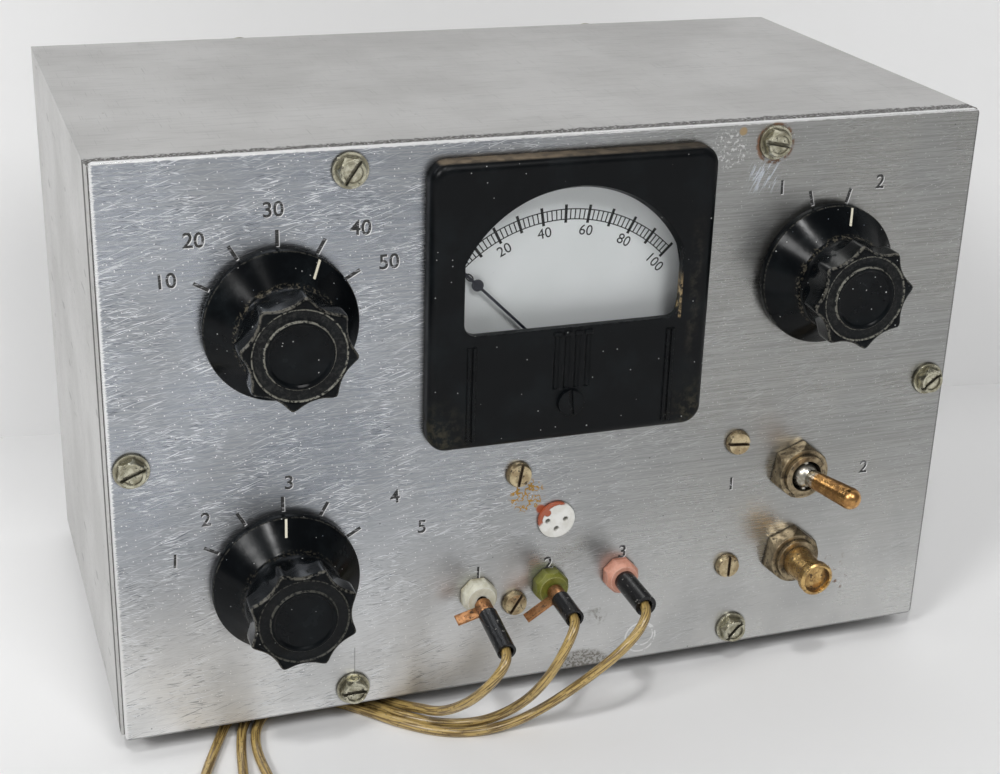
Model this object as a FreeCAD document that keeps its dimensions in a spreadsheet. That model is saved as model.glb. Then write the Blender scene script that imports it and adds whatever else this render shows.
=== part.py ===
"""Bench transistor tester: a sheet-aluminium cabinet with a meter, switches, jacks and test leads.

Millimetres, +Z up, the front panel faces -Y, the origin is on the floor under the middle of the cabinet.
Most pieces are built in panel axes: x to the right, y up and z out of the panel towards the user.
stand() then puts a piece at its place, given as x, rise above the panel's bottom edge and distance out
from the panel's front face.
"""
import FreeCAD
import Part
import Sketcher
import math
import os
import re

DIMENSIONS = {
    # Cabinet
    "panel_width": 228.6, "panel_height": 151.0, "panel_thick": 1.6, "panel_corner": 1.2,
    "panel_lap": 0.4, "panel_side_inset": 0.8, "rear_inset": 0.5, "shell_bend": 1.0,
    "shell_depth": 125.6, "sheet_thick": 1.3, "flange_width": 10.0, "flange_notch": 37.5,
    "foot_height": 6.4, "foot_radius": 8.2, "foot_top_radius": 7.0, "foot_recess": 3.0,
    "foot_recess_radius": 3.9, "foot_spread": 92.0, "foot_depth_spread": 42.0,
    # Screws
    "screw_spread": 55.0, "screw_inset": 5.2, "side_screw_inset": 5.3,
    "screw_flange_radius": 4.4, "screw_flange_high": 0.9, "screw_flats": 6.6, "screw_head": 3.4,
    "screw_crown_radius": 3.1, "screw_slot": 1.0, "screw_slot_deep": 1.3, "screw_shank": 2.0,
    "screw_long": 9.0, "screw_dent_radius": 2.4, "screw_dent": 0.5,
    "small_head_radius": 3.4, "small_head_crown": 3.0, "small_head": 2.0, "small_slot": 0.9,
    "small_slot_deep": 1.1,
    "small_shank": 1.7, "small_long": 4.5, "foot_screw_long": 7.7,
    "hole_fit": 0.3, "tapped_fit": 0.1,
    # Resistor board behind the panel
    "board_left": -17.0, "board_right": 58.5, "board_low": 18.0, "board_high": 69.0, "board_thick": 1.6,
    "spacer_long": 22.0, "spacer_radius": 3.2,
    "resistor_radius": 1.9, "resistor_long": 9.0, "resistor_lead": 0.35, "resistor_span": 15.0,
    "resistor_lift": 2.4,
    "resistor_hole": 0.5, "resistor_left": 13.0, "resistor_pitch": 27.0, "resistor_low": 29.0,
    "resistor_row": 14.0,
    # Batteries on the rear panel
    "cell_radius": 7.2, "cell_long": 50.0, "cell_pitch": 14.6, "cell_tip_radius": 2.7, "cell_tip": 1.2,
    "tray_wall": 1.5, "tray_gap": 0.6, "tray_high": 12.0, "tray_low": 34.0, "tray_screw_rise": 12.0,
    # Meter
    "meter_x": 0.8, "meter_rise": 109.7, "meter_side": 74.6, "meter_proud": 5.0, "meter_corner": 5.0,
    "meter_edge": 2.3, "can_radius": 34.8, "can_wall": 1.8, "can_long": 36.0, "meter_hole_fit": 0.4,
    "cavity_radius": 33.0, "cavity_deep": 3.0,
    "window_half": 28.7, "window_low": -6.6, "window_high": 31.0, "window_radius": 31.1,
    "window_middle": -2.2,
    "window_bevel": 0.9, "window_corner": 3.4,
    "glass_radius": 32.6, "glass_low": -9.0, "glass_back": 1.2, "glass_front": 2.95,
    "rib_offset": 26.6, "rib_pitch": 1.4, "rib_wide": 0.8, "rib_proud": 0.5, "rib_low": -35.0,
    "rib_high": -9.5,
    "lip_half": 1.0, "lip_low": -8.6, "lip_high": -7.6, "flute_radius": 0.8, "flute_pitch": 2.8,
    "flute_low": -23.0, "flute_proud": 0.3,
    "zero_rise": -26.9, "zero_head_radius": 3.5, "zero_head": 1.0, "zero_gap": 0.1, "zero_slot": 0.9,
    "zero_stem": 2.0, "zero_reach": 1.0,
    "dial_radius": 32.2, "dial_low": -12.0, "dial_front": -3.5, "dial_thick": 0.8,
    "pivot_rise": -18.8, "pointer_front": -1.7, "pointer_thick": 0.5, "pointer_long": 40.0,
    "pointer_half": 0.35,
    "pointer_tail": 7.0, "pointer_hub": 2.0, "spade_radius": 1.5, "spade_reach": 32.5, "zero_angle": 45.4,
    "staff_radius": 0.6, "staff_front": 0.3, "staff_back": -26.9, "bearing_radius": 0.65,
    "magnet_half": 15.0, "magnet_low": -27.0, "magnet_high": 16.0, "magnet_slot": 8.6, "magnet_slot_top": 5.0,
    "magnet_front": -10.0, "magnet_back": -24.0,
    "core_radius": 6.6, "core_front": -11.0, "core_back": -23.0, "core_arm": 2.0, "core_arm_top": 13.2,
    "core_arm_front": -13.0, "core_arm_back": -21.0,
    "coil_half": 7.9, "coil_inside": 6.95, "coil_thick": 1.2, "coil_front": -9.4, "coil_back": -24.6,
    "coil_end": 0.9,
    "bridge_half": 13.4, "bridge_thick": 1.0, "bridge_wide": 2.2, "bridge_front": 0.8, "bridge_back": -27.2,
    "bridge_post": 1.4, "bridge_post_x": 11.8, "dial_post_x": 22.0, "dial_post_rise": -4.0,
    "hair_radius": 1.5, "hair_step": 0.55, "hair_wire": 0.22, "hair_out": -6.6,
    "stud_spread": 30.5, "stud_radius": 1.6, "stud_long": 9.0, "stud_nut": 7.9, "stud_nut_high": 2.6,
    "terminal_x": 12.0, "terminal_rise": -5.0, "terminal_long": 10.0,
    # Rotary switches and their knobs
    "range_x": -72.5, "range_rise": 109.7, "function_x": -72.6, "function_rise": 40.7,
    "polarity_x": 72.5, "polarity_rise": 110.0,
    "knob_gap": 2.4, "knob_radius": 18.8, "knob_rim": 3.4, "knob_shoulder_radius": 17.4, "knob_shoulder": 4.6,
    "knob_slope_radius": 14.2, "knob_slope": 8.0, "knob_collar_radius": 12.3, "knob_collar": 10.2,
    "knob_neck_radius": 12.0, "knob_neck": 12.4,
    "knob_tip_radius": 14.3, "knob_grip_low": 15.8, "knob_grip_high": 21.7, "knob_face_radius": 13.5,
    "knob_face": 22.4, "knob_ring_radius": 11.1, "knob_ring_deep": 0.4, "knob_disc_radius": 8.2,
    "knob_disc": 22.6,
    "knob_dish_radius": 7.5, "knob_dish": 22.1,
    "scallop_radius": 10.0, "scallop_reach": 22.0,
    "knob_room_radius": 9.0, "knob_room": 8.6, "knob_bore": 19.4, "knob_bore_radius": 3.2,
    "set_screw_radius": 1.5, "set_screw_out": 18.0, "set_screw_start": 3.25, "set_screw_end": 11.4,
    "set_screw_slot": 0.6, "set_screw_fit": 0.05,
    "shaft_radius": 3.15, "shaft_front": 19.0, "shaft_back": -22.0,
    "detent_radius": 9.0, "detent_front": -3.6, "detent_back": -5.2,
    "rotor_radius": 6.1, "rotor_front": -18.6, "rotor_back": -21.0,
    "bushing_radius": 4.75, "bushing_front": 6.4, "bushing_bore": 3.2, "bushing_back": -3.1,
    "bracket_half": 15.0, "bracket_half_high": 12.0,
    "wafer_post": 1.5, "wafer_post_x": 12.5, "wafer_post_back": -23.0,
    "wafer_radius": 17.0, "wafer_front": -19.0, "wafer_back": -20.6, "wafer_hole": 6.4, "wafer_post_fit": 0.1,
    "lug_reach": 20.0, "lug_half": 0.9, "lug_thick": 0.4,
    "switch_nut": 12.7, "switch_nut_high": 2.4, "nut_fit": 0.05,
    # Toggle switch and push button
    "small_x": 71.0, "toggle_rise": 52.9, "push_rise": 26.9,
    "small_nut": 14.3, "small_nut_high": 4.6, "small_nut_turn": 21.0,
    "small_bushing": 5.95, "small_bore": 4.4, "small_front": 6.0, "small_plate_back": -2.6,
    "small_plate_half": 14.5, "small_plate_half_high": 6.5,
    "lever_reach": 24.0, "lever_pivot": 4.5, "lever_ball": 3.6, "lever_root": 2.3, "lever_tip": 3.0,
    "lever_throw": 16.0, "lever_tail": 12.0, "lever_tail_radius": 1.2, "trunnion_radius": 0.9,
    "trunnion_half": 4.2,
    "toggle_half": 14.0, "toggle_half_high": 6.3, "toggle_back": -20.0, "toggle_room": 9.0,
    "toggle_room_high": 3.5,
    "toggle_room_back": -14.0, "toggle_lug_pitch": 9.0, "toggle_lug": 1.2, "toggle_lug_back": -25.0,
    "push_radius": 8.0, "push_back": -16.0, "spring_room": 4.8, "spring_seat": -6.0, "stem_room": 2.4,
    "stem_room_back": -14.0,
    "plunger_stem": 2.2, "plunger_back": -11.0, "plunger_base": 4.32, "plunger_step": -1.0,
    "plunger_base_top": 8.4,
    "plunger_neck": 3.9, "plunger_neck_out": 13.8, "plunger_head": 4.8, "plunger_head_out": 15.2,
    "plunger_edge": 16.9, "plunger_front": 17.3, "plunger_lip": 4.3, "plunger_dish": 3.8,
    "plunger_dish_out": 15.7,
    "spring_radius": 3.4, "spring_wire": 0.35, "spring_back": -5.6, "spring_long": 4.2,
    # Transistor socket
    "socket_x": 0.35, "socket_rise": 47.1, "socket_flange": 5.1, "socket_proud": 0.9, "socket_radius": 4.3,
    "socket_back": -7.0, "socket_pin": 2.5, "socket_hole": 0.75, "contact_radius": 0.7, "contact_front": -2.5,
    "contact_back": -9.5,
    # Tip jacks, plugs and sleeves
    "emitter_x": -21.1, "base_x": -0.9, "collector_x": 19.4, "jack_rise": 28.0,
    "jack_flats": 9.0, "jack_proud": 4.4, "jack_face_radius": 3.9, "jack_radius": 3.2, "jack_back": -13.0,
    "jack_bore": 1.5, "jack_bore_back": -8.0,
    "plug_pin": 0.8, "plug_pin_back": -3.2, "plug_collar": 2.2, "plug_collar_start": 5.0,
    "plug_collar_end": 9.4,
    "tail_half": 0.3, "tail_start": 5.2, "tail_wide": 3.6, "emitter_tail": 5.9, "base_tail": 8.2,
    "sleeve_radius": 2.5, "wide_sleeve_radius": 2.9, "sleeve_mouth": 1.8, "sleeve_mouth_deep": 1.8,
    "emitter_sleeve": 24.6, "base_sleeve": 19.5, "collector_sleeve": 18.8, "plug_droop": 8.5,
    # Leads and their spring clips
    "lead_radius": 1.3, "hookup_radius": 0.7,
    "clip_barrel": 1.7, "clip_barrel_long": 6.0, "clip_plate_start": 4.0, "clip_plate": 1.2, "clip_half": 3.2,
    "clip_step": 20.0, "clip_tip_half": 2.4, "clip_long": 36.0, "clip_ear_start": 11.0, "clip_ear_end": 17.0,
    "clip_ear": 6.2, "clip_ear_thick": 0.8, "clip_pin": 1.0, "clip_pin_fit": 0.06, "clip_pin_along": 14.0,
    "clip_pin_high": 4.4, "clip_jaw_half": 2.2, "clip_bite": 1.5, "clip_nose": 2.9, "clip_thumb": 1.8,
    "clip_thumb_high": 10.4, "clip_thumb_thick": 1.3,
}

# A lead's points are x, distance out from the panel and height above the floor, from the sleeve to the clip.
# The stretch inside the photograph follows it. The rest, from about 15 out on, is guessed.
EMITTER_ROUTE = [(-21.15, 22.55, 30.63), (-21.3, 25.3, 30.2), (-22.6, 27.4, 28.5), (-24.9, 27.7, 25.4),
                 (-27.3, 26.0, 21.2), (-29.8, 22.2, 16.0), (-32.6, 16.6, 10.6), (-35.2, 10.6, 6.5),
                 (-37.8, 4.8, 4.4), (-41.0, -1.2, 2.1), (-46.6, -8.4, 1.3), (-55.0, -16.0, 1.3),
                 (-66.0, -20.8, 1.3), (-77.6, -18.6, 1.3), (-86.4, -9.8, 1.3), (-91.6, 1.6, 1.3),
                 (-96.4, 12.6, 1.3), (-100.2, 23.4, 1.3), (-102.8, 36.0, 1.3), (-103.6, 50.0, 1.5),
                 (-103.6, 64.0, 1.7)]
BASE_ROUTE = [(-0.9, 17.7, 34.0), (-1.0, 20.4, 33.8), (-2.4, 22.6, 32.2), (-4.6, 23.8, 28.6),
              (-6.9, 23.5, 23.6), (-9.5, 21.8, 17.6), (-12.8, 18.6, 11.0), (-17.4, 14.6, 5.2),
              (-23.6, 11.7, 1.7), (-32.3, 9.4, 1.3), (-41.2, 3.4, 1.3), (-48.6, -5.4, 1.3),
              (-56.4, -12.8, 1.3), (-66.4, -17.0, 1.3), (-76.6, -14.8, 1.3), (-83.4, -6.0, 1.3),
              (-85.9, 4.2, 1.3), (-87.6, 16.0, 1.3), (-89.2, 28.0, 1.3), (-90.2, 41.0, 1.3),
              (-90.6, 54.0, 1.5), (-90.6, 67.0, 1.7)]
COLLECTOR_ROUTE = [(19.4, 17.0, 34.0), (19.2, 19.9, 33.7), (17.8, 22.2, 32.0), (14.8, 23.8, 28.8),
                   (10.2, 24.2, 24.6), (4.6, 23.0, 19.2), (-1.6, 20.0, 12.4), (-8.0, 17.0, 6.2),
                   (-15.6, 15.5, 2.2), (-25.2, 15.4, 1.3), (-34.5, 12.7, 1.3), (-43.4, 5.6, 1.3),
                   (-50.6, -2.4, 1.3), (-57.6, -9.4, 1.3), (-66.0, -13.2, 1.3), (-75.0, -11.4, 1.3),
                   (-80.4, -3.6, 1.3), (-82.4, 6.0, 1.3), (-81.9, 19.0, 1.3), (-80.2, 32.0, 1.3),
                   (-78.8, 45.0, 1.3), (-78.2, 57.0, 1.5), (-78.2, 69.0, 1.7)]
# Hookup wires inside, as x, distance out and rise above the panel's bottom edge.
HOOKUP_WIRES = [
    [(62.0, -25.6, 52.9), (60.5, -40.0, 54.0), (54.0, -62.0, 60.0), (45.0, -86.0, 69.0), (38.0, -106.0, 78.0),
     (34.0, -120.0, 84.0)],
    [(71.0, -16.6, 26.9), (70.0, -30.0, 24.0), (62.0, -52.0, 22.0), (50.0, -78.0, 26.0), (40.0, -100.0, 31.0),
     (35.0, -118.0, 36.0)],
    [(12.8, -46.6, 104.7), (14.0, -55.0, 100.0), (18.0, -57.0, 88.0), (22.0, -48.0, 76.0),
     (24.0, -36.0, 68.0), (24.0, -27.0, 64.0)],
    [(-11.2, -46.6, 104.7), (-18.0, -54.0, 100.0), (-30.0, -52.0, 92.0), (-42.0, -42.0, 84.0),
     (-54.0, -32.0, 84.0), (-62.0, -24.0, 89.0)],
]
CORNER_SHARE = 0.45
HAIR_HALF_TURNS = 7
SPRING_TURNS = 3
SPRING_STEPS = 12
KNOB_LOBES = 8
WAFER_LUGS = 12

SWITCHES = {
    # x, rise and the angle the knob is stored at, clockwise from straight up
    "range": ("range_x", "range_rise", 30),
    "function": ("function_x", "function_rise", 0),
    "polarity": ("polarity_x", "polarity_rise", 15),
}
HALF_SHELL = "(panel_width / 2 + panel_side_inset)"
SHELL_HIGH = "(panel_height - panel_lap)"
SHELL_FRONT = "(-panel_thick)"
SHELL_BACK = "(-panel_thick - shell_depth)"
DEPTH = "(shell_depth + 2 * panel_thick)"
PANEL_FRONT = f"((lever_reach - {DEPTH} - screw_head) / 2)"
PANEL_BOTTOM = "(foot_height - panel_lap)"
BOARD_FRONT = "(-panel_thick - spacer_long)"
BOARD_BACK = f"({BOARD_FRONT} - board_thick)"
METER_PLACE = ("meter_x", "meter_rise")
MOVEMENT_PLACE = ("meter_x", "meter_rise + pivot_rise")
TOGGLE_PLACE = ("small_x", "toggle_rise")
PUSH_PLACE = ("small_x", "push_rise")
SOCKET_PLACE = ("socket_x", "socket_rise")
JACKS = {"emitter": "emitter_x", "base": "base_x", "collector": "collector_x"}

# x, rise and slot angle of the panels' six screws
EDGE_SCREWS = [
    ("-screw_spread", "panel_height - screw_inset", 55),
    ("screw_spread", "panel_height - screw_inset", -12),
    ("side_screw_inset - panel_width / 2", "panel_height / 2", 22),
    ("panel_width / 2 - side_screw_inset", "panel_height / 2", 38),
    ("-screw_spread", "screw_inset", 1),
    ("screw_spread", "screw_inset", 48),
]
# x, rise and slot angle of the screws that hold the resistor board's spacers
BOARD_SCREWS = [("-10.65", "61.8", 80), ("-10.65", "23.8", 58), ("52", "63.1", -5), ("52", "25.5", 88)]

RIGHT = FreeCAD.Vector(1, 0, 0)
UP = FreeCAD.Vector(0, 1, 0)
OUT = FreeCAD.Vector(0, 0, 1)
FRONT = FreeCAD.Rotation(RIGHT, 90)
BACK = FreeCAD.Rotation(OUT, 180) * FRONT
UPRIGHT = FreeCAD.Rotation()
ALONG_UP = FreeCAD.Rotation(RIGHT, -90)
ALONG_RIGHT = FreeCAD.Rotation(UP, 90)

doc = FreeCAD.newDocument("tester")
sheet = doc.addObject("Spreadsheet::Sheet", "dims")
for row, (name, size) in enumerate(DIMENSIONS.items(), start=1):
    sheet.set(f"A{row}", name)
    sheet.set(f"B{row}", str(size))
    sheet.setAlias(f"B{row}", name)
doc.recompute()
nodes = {}


# Building with the sheet

def on_sheet(text):
    """The expression with every dimension's name pointing at its cell."""
    def cell(word):
        return word[0] if word[0] in ("cos", "sin") else "dims." + word[0]
    return re.sub(r"[a-z][a-z_]*", cell, text)


def value(text):
    """The size that an expression over the sheet comes to."""
    return float(sheet.evalExpression(on_sheet(text)))


def bind_base(item, places):
    """Ties a piece's position to the sheet."""
    for axis, text in zip("xyz", places):
        item.setExpression("Placement.Base." + axis, on_sheet(text))


def primitive(kind, name, at, sizes, turn=UPRIGHT):
    """One Part primitive with its sizes and its place tied to the sheet."""
    item = doc.addObject("Part::" + kind, name)
    for size, text in sizes.items():
        item.setExpression(size, on_sheet(text))
    item.Placement.Rotation = turn
    bind_base(item, at)
    return item


def block(name, across, up, out):
    """A box between a low and a high limit along each axis."""
    lows = [low for low, high in (across, up, out)]
    spans = [f"({high}) - ({low})" for low, high in (across, up, out)]
    return primitive("Box", name, lows, dict(zip(("Length", "Width", "Height"), spans)))


def rod(name, radius, start, end, x="0", y="0"):
    """A cylinder along the out axis."""
    return primitive("Cylinder", name, (x, y, start), {"Radius": radius, "Height": f"({end}) - ({start})"})


def post(name, radius, low, high, x="0", out="0"):
    """A cylinder along the up axis."""
    sizes = {"Radius": radius, "Height": f"({high}) - ({low})"}
    return primitive("Cylinder", name, (x, low, out), sizes, ALONG_UP)


def bar(name, radius, left, right, y="0", out="0"):
    """A cylinder along the x axis."""
    sizes = {"Radius": radius, "Height": f"({right}) - ({left})"}
    return primitive("Cylinder", name, (left, y, out), sizes, ALONG_RIGHT)


def cone(name, start_radius, end_radius, start, end, x="0", y="0"):
    """A cone along the out axis."""
    sizes = {"Radius1": start_radius, "Radius2": end_radius, "Height": f"({end}) - ({start})"}
    return primitive("Cone", name, (x, y, start), sizes)


def ball(name, radius, out):
    """A sphere on the out axis."""
    return primitive("Sphere", name, ("0", "0", out), {"Radius": radius})


def spoke(name, long, half, start, end, angle):
    """A flat strip that runs outwards from the out axis."""
    sizes = {"Length": long, "Width": f"2 * ({half})", "Height": f"({end}) - ({start})"}
    corner = (f"({half}) * sin({angle})", f"-({half}) * cos({angle})", start)
    return primitive("Box", name, corner, sizes, FreeCAD.Rotation(OUT, angle))


def many_sided(name, flats, start, end, sides=6, turn=0):
    """A regular prism along the out axis, sized across its flats."""
    sizes = {"Circumradius": f"({flats}) / 2 / cos(180 / {sides})", "Height": f"({end}) - ({start})"}
    item = primitive("Prism", name, ("0", "0", start), sizes, FreeCAD.Rotation(OUT, turn))
    item.Polygon = sides
    return item


def fuse(name, *pieces):
    """Several pieces joined into one."""
    item = doc.addObject("Part::MultiFuse", name)
    item.Shapes = list(pieces)
    return item


def common(name, *pieces):
    """What several pieces share."""
    item = doc.addObject("Part::MultiCommon", name)
    item.Shapes = list(pieces)
    return item


def cut(name, base, *tools):
    """A piece with other pieces taken out of it."""
    item = doc.addObject("Part::Cut", name)
    item.Base = base
    item.Tool = tools[0] if len(tools) == 1 else fuse(name + "_tools", *tools)
    return item


def outline(body, name, role, corners, lift="0"):
    """A closed sketch whose corners are tied to the sheet."""
    sketch = body.newObject("Sketcher::SketchObject", name)
    plane = next(item for item in body.Origin.OriginFeatures if item.Role == role)
    sketch.AttachmentSupport = [(plane, "")]
    sketch.MapMode = "FlatFace"
    sketch.setExpression("AttachmentOffset.Base.z", on_sheet(lift))
    points = [FreeCAD.Vector(value(first), value(second), 0) for first, second in corners]
    ends = points[1:] + points[:1]
    sketch.addGeometry([Part.LineSegment(start, end) for start, end in zip(points, ends)])
    for index, corner in enumerate(corners):
        after = (index + 1) % len(corners)
        sketch.addConstraint(Sketcher.Constraint("Coincident", index, 2, after, 1))
        for kind, text in zip(("DistanceX", "DistanceY"), corner):
            number = sketch.addConstraint(Sketcher.Constraint(kind, -1, 1, index, 1, value(text)))
            sketch.setExpression(f"Constraints[{number}]", on_sheet(text))
    return sketch


def turned(name, profile):
    """A body turned about the out axis from a closed outline of (radius, out) corners."""
    body = doc.addObject("PartDesign::Body", name)
    spin = body.newObject("PartDesign::Revolution", name + "_turning")
    spin.Profile = outline(body, name + "_profile", "XZ_Plane", profile)
    spin.ReferenceAxis = (spin.Profile[0], ["V_Axis"])
    body.Tip = spin
    return body


def pin(name, radius, start, end):
    """A turned rod that keeps its own distance out when it is stood up or copied."""
    return turned(name, [("0", start), (radius, start), (radius, end), ("0", end)])


def padded(name, role, corners, length, lift="0", both_ways=False):
    """A body pushed out from a closed outline."""
    body = doc.addObject("PartDesign::Body", name)
    pad = body.newObject("PartDesign::Pad", name + "_pad")
    pad.Profile = outline(body, name + "_outline", role, corners, lift)
    pad.setExpression("Length", on_sheet(length))
    pad.Midplane = both_ways
    body.Tip = pad
    return body


def round_edges(body, name, radius, wanted):
    """Rounds the edges of the body's last feature that the test picks out."""
    doc.recompute()
    base = body.Tip
    edges = [f"Edge{number}" for number, edge in enumerate(base.Shape.Edges, start=1)
             if wanted(edge.BoundBox)]
    rounding = body.newObject("PartDesign::Fillet", name)
    rounding.Base = (base, edges)
    rounding.setExpression("Radius", on_sheet(radius))
    body.Tip = rounding


def drill(body, name, holes):
    """Round holes (x, y, radius) right through a body."""
    sketch = body.newObject("Sketcher::SketchObject", name + "_circles")
    plane = next(item for item in body.Origin.OriginFeatures if item.Role == "XY_Plane")
    sketch.AttachmentSupport = [(plane, "")]
    sketch.MapMode = "FlatFace"
    for index, (x, y, radius) in enumerate(holes):
        middle = FreeCAD.Vector(value(x), value(y), 0)
        sketch.addGeometry(Part.Circle(middle, OUT, value(radius)))
        limits = [Sketcher.Constraint("DistanceX", -1, 1, index, 3, middle.x),
                  Sketcher.Constraint("DistanceY", -1, 1, index, 3, middle.y),
                  Sketcher.Constraint("Radius", index, value(radius))]
        for limit, text in zip(limits, (x, y, radius)):
            number = sketch.addConstraint(limit)
            sketch.setExpression(f"Constraints[{number}]", on_sheet(text))
    pocket = body.newObject("PartDesign::Pocket", name)
    pocket.Profile = sketch
    pocket.Type = "ThroughAll"
    pocket.Midplane = True
    body.Tip = pocket


def stand(item, x, rise, out="0", turn=FRONT):
    """Puts a piece at its place on the panel."""
    item.Placement.Rotation = turn
    bind_base(item, (x, f"{PANEL_FRONT} - ({out})", f"{PANEL_BOTTOM} + ({rise})"))
    return item


def node(item):
    """Keeps a finished piece, to be written under its own name."""
    nodes[item.Name] = item
    return item


def group(name, pieces):
    """Separate solids in one node."""
    item = doc.addObject("Part::Compound", name)
    item.Links = pieces
    return node(item)


def linked(name, master, place):
    """A copy of one master at (x, rise, out, turn)."""
    link = doc.addObject("App::Link", name)
    link.LinkedObject = master
    return stand(link, *place)


def copies(name, master, places):
    """Copies of one master in one node."""
    return group(name, [linked(f"{name}_{number}", master, place)
                        for number, place in enumerate(places, start=1)])


def rolled(angle, turn=FRONT):
    """A turn about the out axis, anticlockwise as the user sees it, before the piece is stood up."""
    return turn * FreeCAD.Rotation(OUT, angle)


def bend(before, corner, after):
    """How far the arc at a corner starts from it, the arc's half turn and its radius."""
    reach = CORNER_SHARE * min((before - corner).Length, (after - corner).Length)
    half_turn = (math.pi - (before - corner).getAngle(after - corner)) / 2
    return reach, half_turn, reach / math.tan(half_turn)


def rounded_path(points):
    """Straight runs joined by tangent arcs that start at CORNER_SHARE of the shorter run."""
    edges = []
    start = points[0]
    for before, corner, after in zip(points, points[1:], points[2:]):
        inward = (before - corner).normalize()
        outward = (after - corner).normalize()
        reach, half_turn, bend_radius = bend(before, corner, after)
        bisector = (inward + outward).normalize()
        middle = corner + bisector * (bend_radius / math.cos(half_turn) - bend_radius)
        arc_start = corner + inward * reach
        arc_end = corner + outward * reach
        edges.append(Part.LineSegment(start, arc_start).toShape())
        edges.append(Part.Arc(arc_start, middle, arc_end).toShape())
        start = arc_end
    edges.append(Part.LineSegment(start, points[-1]).toShape())
    return Part.Wire(edges)


def swept(name, path, ring):
    """A solid swept along a path."""
    item = doc.addObject("Part::Feature", name)
    item.Shape = path.makePipeShell([Part.Wire(ring)], True, False)
    return item


def tube(name, points, radius):
    """A round cord or wire through points given in the part's own frame."""
    ring = Part.makeCircle(value(radius), points[0], points[1] - points[0])
    return swept(name, rounded_path(points), ring)


# Cabinet

def make_panels():
    half = "panel_width / 2"
    corners = [("-" + half, "0"), (half, "0"), (half, "panel_height"), ("-" + half, "panel_height")]
    panel = padded("front_panel", "XY_Plane", corners, "panel_thick", "-panel_thick")
    round_edges(panel, "panel_corners", "panel_corner",
                lambda box: box.ZLength > max(box.XLength, box.YLength))
    holes = [(x, rise, "screw_shank + hole_fit") for x, rise, slot in EDGE_SCREWS]
    holes += [(x, rise, "small_shank + hole_fit") for x, rise, slot in BOARD_SCREWS]
    holes += [(x, rise, "bushing_radius + hole_fit") for x, rise, angle in SWITCHES.values()]
    holes += [(*place, "small_bushing + hole_fit") for place in (TOGGLE_PLACE, PUSH_PLACE)]
    holes += [(x, "jack_rise", "jack_radius + hole_fit") for x in JACKS.values()]
    holes.append((*SOCKET_PLACE, "socket_radius + hole_fit"))
    holes.append((*METER_PLACE, "can_radius + meter_hole_fit"))
    for side in ("-", "+"):
        for level in ("-", "+"):
            holes.append((f"meter_x {side} stud_spread", f"meter_rise {level} stud_spread",
                          "stud_radius + hole_fit"))
    drill(panel, "panel_holes", holes)
    node(stand(panel, "0", "0"))

    edge = f"{HALF_SHELL} - rear_inset"
    plate = block("rear_sheet", (f"-({edge})", edge),
                  ("panel_lap + rear_inset", f"{SHELL_HIGH} - rear_inset"),
                  (f"-{DEPTH}", SHELL_BACK))
    holes = [rod("rear_hole", "screw_shank + hole_fit", f"-{DEPTH}", SHELL_BACK, x, rise)
             for x, rise, slot in EDGE_SCREWS]
    holes += [rod("tray_screw_hole", "small_shank + hole_fit", f"-{DEPTH}", SHELL_BACK, "0", rise)
              for rise in tray_screw_rises()]
    node(stand(cut("rear_panel", plate, *holes), "0", "0"))


def make_cabinet_shell():
    corners = [(f"-{HALF_SHELL}", "panel_lap"), (HALF_SHELL, "panel_lap"), (HALF_SHELL, SHELL_HIGH),
               (f"-{HALF_SHELL}", SHELL_HIGH)]
    outside = padded("shell_outside", "XY_Plane", corners, "shell_depth", SHELL_BACK)
    round_edges(outside, "shell_bends", "shell_bend",
                lambda box: box.ZLength < max(box.XLength, box.YLength))
    hollow = block("shell_hollow", (f"sheet_thick - {HALF_SHELL}", f"{HALF_SHELL} - sheet_thick"),
                   ("panel_lap + sheet_thick", f"{SHELL_HIGH} - sheet_thick"),
                   (f"{SHELL_BACK} + sheet_thick", f"{SHELL_FRONT} - sheet_thick"))
    mouth = block("shell_mouth", (f"flange_width - {HALF_SHELL}", f"{HALF_SHELL} - flange_width"),
                  ("panel_lap + flange_width", f"{SHELL_HIGH} - flange_width"), (SHELL_BACK, SHELL_FRONT))
    notch = block("shell_notch", ("meter_x - flange_notch", "meter_x + flange_notch"),
                  (f"{SHELL_HIGH} - flange_width", f"{SHELL_HIGH} - sheet_thick"),
                  (f"{SHELL_FRONT} - sheet_thick", SHELL_FRONT))
    holes = [rod("flange_hole", "screw_shank + tapped_fit", SHELL_BACK, SHELL_FRONT, x, rise)
             for x, rise, slot in EDGE_SCREWS]
    holes += [post("foot_hole", "small_shank + tapped_fit", "panel_lap", "panel_lap + sheet_thick", x, out)
              for x, out in foot_places()]
    node(stand(cut("cabinet_shell", outside, hollow, mouth, notch, *holes), "0", "0"))


def foot_places():
    """x and distance out of the four feet."""
    middle = f"-{DEPTH} / 2"
    return [(x, middle + out) for x in ("-foot_spread", "foot_spread")
            for out in (" - foot_depth_spread", " + foot_depth_spread")]


def make_feet():
    hole = "small_shank + tapped_fit"
    foot = turned("foot_master", [("foot_recess_radius", "0"), ("foot_radius", "0"),
                                  ("foot_top_radius", "foot_height"), (hole, "foot_height"),
                                  (hole, "foot_recess"),
                                  ("foot_recess_radius", "foot_recess")])
    places = [(x, f"-{PANEL_BOTTOM}", out, UPRIGHT) for x, out in foot_places()]
    copies("rubber_feet", foot, places)
    screw = slotted_screw("foot_screw", "small_head_radius", "small_head_crown", "small_head", "small_slot",
                          "small_slot_deep", "small_shank", "foot_screw_long")
    upside_down = FreeCAD.Rotation(RIGHT, 180)
    copies("foot_screws", screw, [(x, f"foot_recess - {PANEL_BOTTOM}", out, upside_down)
                                  for x, out in foot_places()])


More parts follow.
